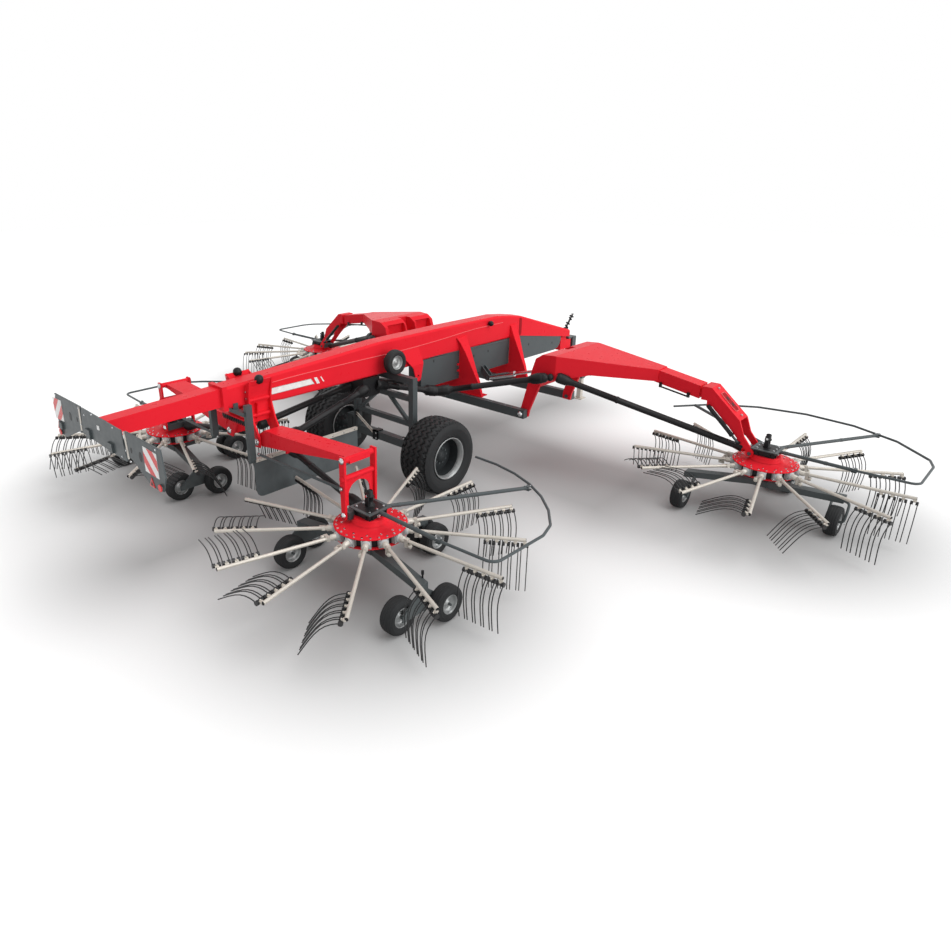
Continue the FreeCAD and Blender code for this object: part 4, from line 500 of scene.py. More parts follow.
def tread(shape, centre, radius, width, steps, depth, waves):
    """A tyre's crown with zigzag grooves and notched shoulders.

    The radius over the width falls as the fourth power from crown to shoulder. A groove lies where
    the sine of the rib count times the sideways place, shifted by a triangle wave round the tyre, is low,
    and the shoulders are notched where the sine of the wave count times the bearing is low.
    """
    turn = round_turn(steps)[:, None]
    across = np.linspace(-1, 1, 57)[None, :]
    crown = radius - 0.07 * radius * np.abs(across) ** 4
    wave = 0.30 / RIBS * np.arcsin(np.sin(waves * turn))
    groove = np.clip(4 * (np.sin(math.pi * RIBS * (across + wave)) + 0.42), -1, 1) * -0.5 + 0.5
    lug = np.clip(5 * (np.sin(waves * turn + 1.2) + 0.25), -1, 1) * -0.5 + 0.5
    lug = lug * np.clip((np.abs(across) - 0.80) * 14, 0, 1)
    edge = np.clip((1.01 - np.abs(across)) * 14, 0, 1)
    reach = crown - depth * np.maximum(groove * edge, lug * 0.8)
    surface = np.stack([reach * np.cos(turn), across * width / 2 * 0.93 + 0 * turn, reach * np.sin(turn)], -1)
    shape.grid(surface + centre, "rubber", (True, False), depth < 0.01)


def tyre_wall(shape, centre, radius, width, rim, side):
    """One sidewall from the shoulder to the bead.

    The radius falls evenly. The distance from the middle swells by a sine, falls back over the last
    fifth, and steps out by 3.5 mm at two raised rings.
    """
    share = np.linspace(0, 1, 15)
    reach = radius * 0.932 + (rim - radius * 0.932) * share
    bulge = 0.925 + 0.075 * np.sin(np.pi * np.clip(share * 1.25, 0, 1)) - 0.50 * np.clip(share - 0.8, 0, 1)
    rings = (np.abs(share - 0.35) < 0.04) | (np.abs(share - 0.78) < 0.04)
    shape.lathe(centre, 1, np.stack([side * (width / 2 * bulge + 0.0035 * rings), reach], 1), "rubber", 72, way=side)


# Each rim has bands, as pairs of shares of the half width and of the rim's radius, with their finish and facets,
# and nuts: their number, the shares of the radius and of the half width at which they stand, size and finish.
SHALLOW_RIM = ([("rim", 48, [(0.83, 1.0), (0.87, 0.985), (0.84, 0.95), (0.62, 0.90), (0.42, 0.86), (0.34, 0.80),
                             (0.22, 0.70), (0.20, 0.50), (0.34, 0.42), (0.36, 0.30), (0.52, 0.26), (0.55, 0.10),
                             (0.55, 0.0)])], (5, 0.37, 0.35, 0.032, "chrome"))


def deep_rim(side):
    """A main wheel's rim: bead flange, a stepped well that is deepest on the inner side, and a dish; well and dish are
    near black, painted shade inside the deep rim.
    """
    floor = 0.30 if side > 0 else 0.05
    return [("rim", 64, [(0.86, 1.0), (0.91, 0.995), (0.90, 0.955), (0.80, 0.94), (0.74, 0.90), (0.60, 0.885)]),
            ("well", 64, [(0.60, 0.885), (floor, 0.86)]),
            ("well", 48, [(floor, 0.86), (floor + 0.03, 0.78), (floor + 0.08, 0.60), (floor + 0.20, 0.46),
                          (floor + 0.20, 0.27), (floor + 0.34, 0.25), (floor + 0.36, 0.0)])
            ], (10, 0.36, floor + 0.20, 0.045, "grey")


def wheel(centre, radius, width, rim=0.54, deep=False, steps=60, depth=0.003, waves=30):
    """A whole wheel: tread, both walls and both faces of the rim, which is given as a share of the radius."""
    shape = Shape()
    tread(shape, centre, radius, width, steps, depth, waves)
    for side in (-1, 1):
        tyre_wall(shape, centre, radius, width, radius * rim, side)
        bands, (count, out, across, size, finish) = deep_rim(side) if deep else SHALLOW_RIM
        scale = np.array([width / 2 * side, radius * rim])
        for band, sides, profile in bands:
            shape.lathe(centre, 1, np.array(profile) * scale, band, sides, way=side)
        for turn in round_turn(count):
            place = np.array([math.cos(turn) * out * scale[1], across * scale[0], math.sin(turn) * out * scale[1]])
            shape.bolt(centre + place, (0, side, 0), size * scale[1], finish)
    return shape


class RAKE_OT_wheels(bpy.types.Operator):
    """Main wheels, castor wheels and the spare wheel"""
    bl_idname = "rake.wheels"
    bl_label = "Wheels"

    def execute(self, context):
        sizes = context.scene.rake_sizes
        for node in NODES:
            low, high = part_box(node)
            radius, width = (high[2] - low[2]) / 2, high[1] - low[1]
            centre = middle_of(node)
            if node.startswith("main_wheel"):
                shape = wheel(centre, radius, width, 0.56, True, sizes.wheel_steps, sizes.tread_depth, 36)
            elif node.startswith("castor_twin"):
                single = (width - sizes.twin_gap) / 2
                shape = Shape()
                for side in (-1, 1):
                    place = centre + (0, side * (single + sizes.twin_gap) / 2, 0)
                    shape.joined(wheel(place, radius, single))
            elif node.startswith("castor"):
                shape = wheel(centre, radius, width)
            elif node == "spare_wheel":
                tyre = centre * (1, 0, 1) + (0, low[1] + sizes.spare_width / 2, 0)
                shape = wheel(tyre, radius, sizes.spare_width, 0.56)
                bracket = high[1] - tyre[1]
                shape.tube([tyre, tyre + (0, bracket, 0)], 0.024, "grey", 16)
                shape.lathe(tyre, 1, [(0.0, 0.075), (0.10, 0.070), (0.16, 0.040), (bracket, 0.040)], "grey", 24)
            else:
                continue
            shape.piece(node + "_tyre", body_of(node), node)
        return {"FINISHED"}


# ---------------------------------------------------------------- rotors

ARMS = 13
FIRST_ARM = math.radians(-26.6)     # bearing of the first arm
ROLLS = (0, 0, 0, 0, 0, 4, 42, 68, 88, 70, 33, 0, 0)     # each arm's roll in degrees
ARM_Z, TIP = 0.650, 1.636           # height of the arms and the radius of their tips
DISC, BELL_Z, RING_Z = 0.392, 0.706, 0.586     # radius of the bell, and heights of its rim and of the lower ring
COIL_DROP = 0.052                   # from an arm's middle down to its coils
# Each end's hub from the station, the lugs of an arm, the first one's radius, their pitch, and how far a tine
# stands from its lug as a share of the pitch.
ENDS = {"front": {"hub": (2.443, 4.564), "lugs": 4, "first": 1.290, "pitch": 0.110, "spread": 0.30},
        "rear": {"hub": (-2.232, 2.121), "lugs": 5, "first": 1.242, "pitch": 0.095, "spread": 0.34}}


def tine_path(radius, drop):
    """One spring tine below an arm, an S: its bow grows with the depth and dies away exponentially."""
    share = np.array([0.0, 0.05, 0.12, 0.22, 0.34, 0.48, 0.66, 0.84, 1.0])
    bow = 0.094 * (share / 0.45) * np.exp(1 - share / 0.45)
    return np.stack([radius + 0 * share, 0.016 + bow, -COIL_DROP - share * (drop - COIL_DROP)], 1)


def coil(shape, start, end):
    """A tine's black coil: a bar whose radius steps up and down like wound wire."""
    along = np.linspace(start, end, 9)
    ribs = 0.0245 * (1 - 0.14 * (np.arange(9) % 2))
    shape.tube(np.stack([along, 0 * along + 0.016, 0 * along - COIL_DROP], 1), ribs, "tine", 10)


def rotor_arm(sizes, lay, roll):
    """One tine arm along X: tube, end plug, lugs with bolts, coils and tines, root and crank, then rolled."""
    shape = Shape()
    shape.tube([(DISC + 0.06, 0, 0), (TIP - 0.004, 0, 0)], 0.0195, "zinc", 14, False)
    shape.tube([(TIP - 0.02, 0, 0), (TIP, 0, 0)], 0.0175, "black", 12)
    spread = lay["pitch"] * lay["spread"]
    for radius in lay["first"] + lay["pitch"] * np.arange(lay["lugs"]):
        lug = np.array([(-0.020, 0.012, -0.004), (-0.016, 0.030, -0.040), (0.016, 0.030, -0.040),
                        (0.020, 0.012, -0.004)]) + (radius, 0, 0)
        shape.prism(lug, (0, -0.020, -0.006), "zinc")
        shape.bolt(np.array([radius, 0.030, -0.030]), (0, 1, -0.3), 0.008, "zinc")
        coil(shape, radius - spread - 0.008, radius - 0.012)
        coil(shape, radius + 0.012, radius + spread + 0.008)
        for offset in (-spread, spread):
            shape.tube(tine_path(radius + offset, sizes.tine_drop), sizes.tine_wire / 2, "tine", 6)
    shape.lathe((DISC + 0.02, 0, 0), 0, [(-0.03, 0.034), (0.045, 0.034), (0.052, 0.028), (0.062, 0.024),
                                         (0.110, 0.023)], "zinc", 20)
    shape.plate(0, DISC + 0.085, [(-0.024, 0.026), (0.024, 0.026), (0.022, -0.070), (-0.022, -0.070)], 0.036, "zinc")
    shape.lathe((DISC + 0.121, 0, -0.052), 0, [(0.0, 0.0), (0.0, 0.025), (0.030, 0.025), (0.036, 0.018), (0.036, 0.0)],
                "zinc", 16)
    return shape.carried(lambda points: spin(points, math.radians(roll), 0) + (0, 0, ARM_Z))


def rotor_hub(shape, bearings):
    """The red bell with its bolt rings, the grey bearing castings, a black band of painted shade in the gaps between
    them, and the red lower ring.
    """
    bell = [(-0.010, DISC - 0.02), (-0.010, DISC), (-0.001, DISC + 0.002), (0.002, DISC - 0.006), (0.006, 0.272),
            (0.012, 0.228), (0.032, 0.194), (0.052, 0.172), (0.066, 0.160), (0.066, 0.100)]
    shape.lathe((0, 0, BELL_Z), 2, bell, "red", 72)
    ring = [(0, 0.10), (0, DISC - 0.010), (0.008, DISC - 0.010), (0.008, 0.10)]
    shape.lathe((0, 0, RING_Z), 2, ring, "red", 72, False)
    # A black band behind the castings: painted shade in the gaps between them.
    shape.lathe((0, 0, 0), 2, [(RING_Z + 0.008, DISC - 0.055), (BELL_Z - 0.010, DISC - 0.055)], "black", 60)
    for bearing in bearings:
        sector = Shape()
        front = DISC - 0.012
        sector.block((0.18, -0.052, RING_Z + 0.010), (front, 0.052, BELL_Z - 0.012), "cast")
        sector.lathe((front, 0, ARM_Z), 0, [(0, 0.050), (0.020, 0.048), (0.030, 0.040), (0.030, 0.02)], "cast", 20)
        for side in (-1, 1):
            for lift in (0.033, -0.033):
                sector.bolt(np.array([front, side * 0.043, ARM_Z + lift]), (1, 0, 0), 0.007)
        for place, side in ((0.365, -0.5), (0.365, 0.5), (0.305, 0.0)):
            turn = side * math.pi / ARMS
            spot = np.array([place * math.cos(turn), place * math.sin(turn), BELL_Z + 0.003])
            sector.bolt(spot, (0, 0, 1), 0.0105)
        shape.joined(sector.carried(lambda points, b=bearing: spin(points, b)))


class RAKE_OT_rotors(bpy.types.Operator):
    """The four tined rotors"""
    bl_idname = "rake.rotors"
    bl_label = "Rotors"

    def execute(self, context):
        bearings = FIRST_ARM + round_turn(ARMS)
        for end, lay in ENDS.items():
            shape = Shape(STATION + (*lay["hub"], 0.0))
            rotor_hub(shape, bearings)
            for bearing, roll in zip(bearings, ROLLS):
                arm = rotor_arm(context.scene.rake_sizes, lay, roll)
                shape.joined(arm.carried(lambda points, b=bearing: spin(points, b)))
            for side, mirrored in SIDES:
                name = "rotor_%s_%s" % (end, side)
                shape.piece(name + "_tines", body_of(name), name, mirrored)
        return {"FINISHED"}


# ---------------------------------------------------------------- curtain

class RAKE_OT_curtain(bpy.types.Operator):
    """The swath curtain: a rubber sheet that hangs from its rail"""
    bl_idname = "rake.curtain"
    bl_label = "Swath curtain"

    def execute(self, context):
        low, high = (np.array(corner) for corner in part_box("swath_curtain"))
        middle = (low[1] + high[1]) / 2
        length, height = float(high[0] - low[0]), float(high[2] - low[2])
        surface = hanging_sheet(low[0], high[2], length, height, middle)
        skin = np.array([0, 0.002, 0])
        shape = Shape()
        shape.grid(surface - skin, "curtain")
        shape.grid((surface + skin)[::-1], "curtain")
        rim = np.concatenate([surface[0], surface[:, -1], surface[-1, ::-1]])
        shape.tube(rim, 0.0028, "curtain", 6)
        piece = shape.piece("curtain_sheet", "frame", "swath_curtain")
        rail = Shape((0.0, middle, high[2]))
        start, end = low[0] + 0.02, high[0] - 0.01
        rail.block((start, -0.0235, -0.004), (end, -0.0165, 0.036), "zinc")
        rail.block((start, -0.0235, 0.0345), (end, 0.018, 0.0365), "zinc")
        for x in low[0] + length * np.linspace(0.04, 0.96, 9):
            rail.bolt(np.array([x, -0.0235, 0.016]), (0, -1, 0), 0.008)
        rail.piece("curtain_rail", "frame")
        return {"FINISHED"}


def hanging_sheet(start, top, length, height, middle):
    """A sheet by its share along and down, with a rounded lower corner at its start.

    The corner's depth falls short by the circle's sagitta. Sideways it waves by two sines of the
    place along, more so lower down, and stands out in bell curves at six seams.
    """
    corner = 0.110
    along, down = np.linspace(0, 1, 80)[:, None], np.linspace(0, 1, 30)[None, :]
    x = start + along * length + 0 * down
    rear = np.clip(1 - (x - start) / corner, 0, 1)
    z = top - down * (height - corner * (1 - np.sqrt(1 - rear ** 2)))
    creases = 0.0016 * np.sin(9.0 * x + 2.2 * down) + 0.0012 * np.sin(23.0 * x + 1.3)
    seams = 0.0025 * np.exp(-((along * 6 - np.round(along * 6)) * 9) ** 2) * (along > 0.05) * (along < 0.95)
    return np.stack([x, middle + creases * down ** 0.7 + seams, z], -1)


# ---------------------------------------------------------------- drive shafts

SHAFT_GUARD = 0.0435     # radius of a drive shaft's guard


def at(x, y, z):
    """A point given from the station, in the frame's metres."""
    return STATION + (x, y, z)


def guarded_shaft(shape, start, end, radius=SHAFT_GUARD, cones=(True, True)):
    """A plastic shaft guard along a line; near a joint it widens in ribbed bellows to a cup.

    The radius is constant, with a ring at a third of the length; over the last part it grows with the
    distance, plus a small square wave for the ribs.
    """
    length = np.linalg.norm(end - start)
    along = np.array([0.0, 0.02, 0.05, 0.055, 0.08, 0.085, 0.11, 0.115, 0.14, 0.145, 0.17, 0.175, 0.21, 0.24])
    flare = np.array([1.50, 1.72, 1.84, 1.70, 1.86, 1.70, 1.84, 1.64, 1.76, 1.52, 1.60, 1.34, 1.16, 1.0])
    first, second = (flare if cone else np.ones(len(flare)) for cone in cones)
    ring = length / 3 + np.array([0.0, 0.004, 0.03, 0.034])
    place = np.concatenate([along, ring, length - along[::-1]])
    reach = np.concatenate([first, [1.0, 1.12, 1.12, 1.0], second[::-1]]) * radius
    shape.tube(start + (end - start) * (place / length)[:, None], reach, "black", 20)


class RAKE_OT_shafts(bpy.types.Operator):
    """Ribbed black guards of the drive shafts"""
    bl_idname = "rake.shafts"
    bl_label = "Drive shaft guards"

    def execute(self, context):
        rear, middle, front = at(-0.330, 0.170, 1.430), at(0.700, 0.390, 1.150), at(1.395, 1.790, 1.490)
        arm_start, arm_end = at(1.535, 1.925, 1.500), at(2.435, 4.259, 0.808)
        shape = Shape()
        for start, end in ((rear, middle), (middle, front), (at(-0.500, 0.150, 1.400), at(-1.960, 0.330, 1.120))):
            guarded_shaft(shape, start, end)
        bellows = np.array([0.0, 0.05, 0.06, 0.12, 0.13, 0.19, 0.20, 0.26])[:, None]
        for far in (rear, front):
            way = (far - middle) / np.linalg.norm(far - middle)
            shape.tube(middle + way * bellows, (0.072, 0.078, 0.072, 0.084, 0.074, 0.080, 0.062, 0.046), "black", 20)
        joint = [(-0.052, 0.0), (-0.050, 0.024), (-0.036, 0.026), (-0.034, 0.040), (-0.012, 0.044), (0.0, 0.050),
                 (0.012, 0.044), (0.034, 0.040), (0.036, 0.026), (0.050, 0.024), (0.052, 0.0)]
        shape.lathe((front + arm_start) / 2, 2, joint, "black", 20)
        shape.pair("shaft_guards_", "frame")
        outer = Shape()
        guarded_shaft(outer, arm_start, arm_end, cones=(True, False))
        outer.tube([arm_end - (0.0, 0.10, -0.03), at(2.435, 4.268, 0.805)], (0.052, 0.056), "black", 20)
        outer.pair("arm_shaft_guard_", "front_arm_")
        inner = Shape()
        guarded_shaft(inner, at(-2.050, 0.470, 1.050), at(-2.172, 1.876, 0.790), 0.0385)
        inner.pair("rear_shaft_guard_", "rear_arm_")
        return {"FINISHED"}


# ---------------------------------------------------------------- light board

class RAKE_OT_board(bpy.types.Operator):
    """Warning plates, lamps, reflectors and hinges on the light board"""
    bl_idname = "rake.board"
    bl_label = "Light board fittings"

    def execute(self, context):
        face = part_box("light_board")[0][0] + 0.022
        top, low, lean, rim = 1.752, 1.492, 0.006, 0.003     # heights of the plates, their slant and white rim
        shape = Shape()

        def flat(corners, thick, finish, level=face):
            """A plate on the board's rear face, or at a level, from (Y, Z) corners."""
            shape.plate(0, level, corners, -thick, finish)

        turn = round_turn(24)
        oval = np.stack([0.62 * np.cos(turn), np.sin(turn)], 1)
        for sign, inner, outer, y in ((1, 1.088, 1.340, 1.275), (-1, 0.940, 1.210, -1.045)):
            flat([(sign * inner, top), (sign * outer, top - lean), (sign * outer, low), (sign * inner, low + lean)],
                 0.003, "white")
            scale = (sign * (outer - inner), low - top + 2 * rim)
            for start in (-0.62, 0.28):
                flat(clipped_band(start) * scale + (sign * inner, top - rim), 0.0012, "signal", face - 0.003)
            z = 1.402
            flat([(y - 0.052, z - 0.036), (y + 0.052, z - 0.036), (y, z + 0.062)], 0.006, "signal")
            flat([(y - 0.026, z - 0.022), (y + 0.026, z - 0.022), (y, z + 0.028)], 0.007, "black")
            for y, z, radius in ((0.86, 1.618, 0.052), (0.665, 1.630, 0.030)):
                flat(oval * radius + (sign * y, z), 0.0015, "black")
            for y, z in ((0.555, 1.785), (0.555, 1.600), (1.215, 1.790), (0.62, 1.50)):
                shape.bolt((face, sign * y, z), (-1, 0, 0), 0.010)
            flat([(sign * 0.535, 1.800), (sign * 0.575, 1.800), (sign * 0.600, 1.520), (sign * 0.560, 1.520)],
                 0.0025, "zinc")
            shape.tube([(face + 0.002, sign * 0.60, 1.808), (face + 0.002, sign * 1.25, 1.804)], 0.006, "grey", 8)
        for y, z, half in ((0.370, 1.539, 0.052), (-0.186, 1.533, 0.052), (1.184, 1.431, 0.0416)):
            lens(shape, face - 0.022, y, z, half)
        for y, z in ((1.232, 1.345), (-1.232, 1.415)):
            shape.lathe((face - 0.014, y, z), 0, [(0.0, 0.036), (-0.0075, 0.036), (-0.0078, 0.028), (-0.0060, 0.0)],
                        "signal", 24)
        flat([(0.060, 1.700), (0.118, 1.697), (0.118, 1.650), (0.060, 1.653)], 0.004, "white")
        for y, z in ((0.213, 1.790), (-0.30, 1.775), (0.42, 1.740), (-0.43, 1.50)):
            shape.bolt((face, y, z), (-1, 0, 0), 0.009)
        shape.piece("board_fittings", "frame")
        return {"FINISHED"}


def clipped_band(start):
    """A slanted band's corners by their shares across and down a plate, cut off at the plate's two sides."""
    across, down = start + np.array([0.0, 0.42, 1.42, 1.0]), np.array([0.0, 0.0, 1.0, 1.0])
    reach = np.clip(across, 0, 1)
    return np.stack([reach, np.clip(down + reach - across, 0, 1)], 1)


def lens(shape, x, y, z, half):
    """A square rear lamp's lens, one part red and the other amber."""
    for finish, low, high in (("signal", -0.9, 0.05), ("amber", 0.12, 0.9)):
        shape.block((x + 0.0006, y + half * low, z - half * 0.86), (x + 0.004, y + half * high, z + half * 0.86),
                    finish)


# ---------------------------------------------------------------- beam and brackets

BEAM_FACE, CHANNEL_FACE = 0.1405, 0.1285     # the beam's left side and that of the channel under it
PIN_STEPS = (0.008, 0.012, 0.020)           # collar, neck and end of a fold pin's cap


class RAKE_OT_beam(bpy.types.Operator):
    """Fold lines drawn in pale red as painted highlights, blank plate, a groove in painted shade, bolts, buffers and
    hose holder on the main beam
    """
    bl_idname = "rake.beam"
    bl_label = "Beam fittings"

    def execute(self, context):
        shape = Shape(STATION)
        # The fold line: a thin tube in pale red, a painted highlight of the fold.
        seam = [(-2.08, 1.795), (-1.59, 1.812), (-0.76, 1.814), (0.26, 1.812), (1.00, 1.835), (1.80, 1.885),
                (2.60, 1.885)]
        shape.tube(rounded_path([(x, BEAM_FACE, z) for x, z in seam], 0.3), 0.005, "edge")
        for grow, thick, finish in ((0.0, 0.0018, "rim"), (0.006, 0.0026, "white")):
            shape.plate(1, BEAM_FACE, [(-2.051 + grow, 1.645 + grow), (-1.369 - grow * 1.6, 1.647 + grow),
                                       (-1.423 - grow, 1.728 - grow), (-2.043 + grow, 1.729 - grow)], thick, finish)
        for start, wide, low, high in ((-1.330, 0.046, 1.640, 1.728), (-1.228, 0.016, 1.650, 1.722)):
            shape.plate(1, BEAM_FACE, [(start, low), (start + wide, low), (start + wide - 0.045, high),
                                       (start - 0.045, high)], 0.0018, "white")
        shape.prism([(0.80, CHANNEL_FACE, 1.617), (0.80, CHANNEL_FACE + 0.010, 1.603), (0.80, CHANNEL_FACE, 1.597)],
                    (1.94, 0.0, -0.045), "grey")
        # A deep red strip at the groove near the nose: painted shade.
        shape.plate(1, BEAM_FACE, [(3.070, 1.62), (3.105, 1.58), (3.140, 1.62), (3.140, 1.880), (3.070, 1.900)],
                    0.003, "shade")
        shape.lathe((2.22, BEAM_FACE, 1.925), 1, [(0.0, 0.020), (0.014, 0.020), (0.016, 0.036), (0.045, 0.044),
                                                  (0.070, 0.036), (0.085, 0.018), (0.088, 0.0)], "black", 24)
        for x, z in ((0.90, 1.51), (1.86, 1.42), (2.23, 1.44), (3.4, 1.36), (4.15, 1.27)):
            shape.plate(1, CHANNEL_FACE, [(x, z), (x + 0.018, z - 0.004), (x + 0.018, z + 0.036), (x, z + 0.040)],
                        0.0015, "black")
        for z in (1.36, 1.26):
            shape.block((1.448, 0.132, z), (1.498, 0.150, z + 0.03), "red")
        shape.pair("beam_trim_", "frame")
        pins = Shape(STATION)
        for x in (1.450, 2.760):
            for y in (0.78, 0.84, 1.10):
                pins.bolt(np.array([x, y, 0.9255]), (0, 0, 1), 0.011)
        for x, way in ((1.40, -1), (2.812, 1)):
            pins.pin_cap((x, 1.42, 0.86), way, (0.010, 0.014, 0.022), 0.040, 0.030)
        pins.pair("fold_pins_", "frame")
        hose_holder()
        axle_stay()
        return {"FINISHED"}


def hose_holder():
    """The rubber hose holder: a foot, a leaning stem with loops across it, and a cap."""
    holder = Shape(STATION + (4.700, -0.070, 1.447))
    holder.brick((0.0, 0.0, 0.020), (0.034, 0.030, 0.022), "black")
    lean = np.array([(0.0, 0.0, 0.0), (0.02, 0.0, 0.07), (0.09, 0.0, 0.14), (0.20, 0.0, 0.26)])
    holder.tube(rounded_path(lean, 0.03), 0.018, "black", 10)
    for height, turn in ((0.06, 0.4), (0.11, 0.0), (0.15, 1.1), (0.19, 0.5), (0.23, -0.5)):
        centre = np.array([np.interp(height, lean[:, 2], lean[:, 0]), 0.0, height])
        reach = np.array([math.sin(turn) * 0.034, math.cos(turn) * 0.040, 0.016])
        holder.tube([centre - reach, centre, centre + reach], (0.013, 0.019, 0.013), "black", 10)
    cap = [(0.0, 0.008), (0.004, 0.020), (0.014, 0.026), (0.026, 0.022), (0.032, 0.0)]
    holder.lathe((0.203, 0.0, 0.256), 2, cap, "cast", 16)
    holder.piece("hose_holder", "frame")


def axle_stay():
    """Two stay rods and their clamps behind the main axle."""
    stay = Shape(STATION)
    for drop in (0.0, 0.036):
        stay.tube([(-0.088, 0.550, 0.806 - drop), (-0.088, 0.165, 0.580 - drop)], 0.0095, "zinc", 10)
    for low, high, finish in (((-0.098, 0.085, 0.458), (-0.074, 0.185, 0.606), "black"),
                              ((-0.098, 0.085, 0.590), (0.030, 0.185, 0.606), "black"),
                              ((-0.096, 0.520, 0.735), (-0.064, 0.565, 0.830), "black"),
                              ((-0.095, -0.505, 0.480), (-0.074, -0.450, 0.655), "grey")):
        stay.block(low, high, finish)
    for y, z in ((0.105, 0.490), (0.105, 0.570), (-0.478, 0.630), (-0.478, 0.510)):
        stay.bolt(np.array([-0.098, y, z]), (-1, 0, 0), 0.011)
    stay.piece("axle_stay", "frame")


def bracket(comb):
    """Fittings of one rear bracket: buffer, cross tube, ribs, pins, bolts and edge, and perhaps a hose comb."""
    shape = Shape(STATION)
    buffer = Shape()
    buffer.lathe((0, 0, 0), 2, [(0.0, 0.036), (0.014, 0.042), (0.018, 0.052), (0.056, 0.054), (0.082, 0.044),
                                (0.098, 0.024), (0.103, 0.0)], "black", 28)
    shape.joined(buffer.carried(lambda points: spin(points, -0.42, 0) + (-2.245, 0.212, 1.862)))
    shape.tube([(-2.395, 0.171, 1.455), (-2.070, 0.171, 1.455)], 0.024, "red", 20)
    shape.block((-2.392, 0.152, 1.365), (-2.074, 0.158, 1.600), "red")
    shape.plate(0, -2.286, [(0.158, 1.610), (0.222, 1.610), (0.204, 1.520), (0.186, 1.430), (0.158, 1.400)],
                0.012, "red")
    for pin, face, way in ((-2.392, -2.400, -1), (-2.072, -2.064, 1)):
        shape.pin_cap((pin, 0.300, 1.170), way, PIN_STEPS, 0.044, 0.034)
        for z in (1.60, 1.68, 1.76):
            shape.bolt(np.array([face, 0.16, z]), (way, 0, 0), 0.012)
    edge = [(0.262, 1.900), (0.213, 1.70), (0.213, 1.58), (0.272, 1.40), (0.362, 1.235)]
    shape.tube(rounded_path([(-2.397, y, z) for y, z in edge], 0.08), 0.0045, "red")
    if comb:
        shape.block((-2.430, -0.110, 1.396), (-2.398, 0.365, 1.412), "red")
        for y in np.arange(-0.095, 0.36, 0.041):
            shape.block((-2.428, y - 0.012, 1.352), (-2.404, y + 0.012, 1.397), "black")
            shape.tube([(-2.416, y, 1.352), (-2.416, y, 1.328)], 0.009, "black")
    return shape


class RAKE_OT_brackets(bpy.types.Operator):
    """Lugs, buffers, pins and bars on the rear brackets and the rear arms"""
    bl_idname = "rake.brackets"
    bl_label = "Rear bracket fittings"

    def execute(self, context):
        for side, mirrored in SIDES:
            bracket(not mirrored).piece("bracket_fittings_" + side, "frame", None, mirrored)
        arm = Shape(STATION + (ENDS["rear"]["hub"][0], 0.0, 0.0))
        for way in (-1, 1):
            for z, collar, neck, end, slim, finish in ((1.418, 0.006, 0.008, 0.016, 0.026, "chrome"),
                                                       (1.215, 0.006, 0.008, 0.016, 0.026, "red"),
                                                       (0.800, 0.010, 0.012, 0.018, 0.024, "chrome")):
                arm.pin_cap((way * 0.226, 1.951, z), way, (collar, neck, end), 0.036, slim, finish, 20)
        turn = np.linspace(0.0, math.pi, 13)
        arch = np.stack([0.150 * np.cos(turn), 1.010 + 0.140 * np.sin(turn)], 1)
        corners = [(-0.195, 0.90), (-0.195, 1.200), (0.195, 1.200), (0.195, 0.90), (0.150, 0.90), *arch, (-0.150, 0.90)]
        arm.plate(1, 1.946, corners, 0.010, "red")
        arm.plate(0, -0.238, [(0.420, 1.058), (1.960, 1.094), (1.960, 1.126), (0.420, 1.090)], 0.011, "grey")
        for y, z in ((0.450, 1.075), (1.945, 1.110)):
            arm.bolt(np.array([-0.238, y, z]), (-1, 0, 0), 0.016)
        arm.pair("rear_arm_fittings_", "rear_arm_")
        return {"FINISHED"}


PANEL = np.array([2.443, 4.008, 1.387])     # middle of the sloping cover panel from the station
DOWN, OUT = np.array([0.0, 0.7535, -0.6573]), np.array([0.0, 0.6573, 0.7535])     # along the panel and out of it
LEVEL = np.array([1.0, 0.0, 0.0])


def rounded_square(share):
    """A sine or cosine carried to the power 0.35 with its sign, which squares off a circle."""
    return np.abs(share) ** 0.35 * np.sign(share)


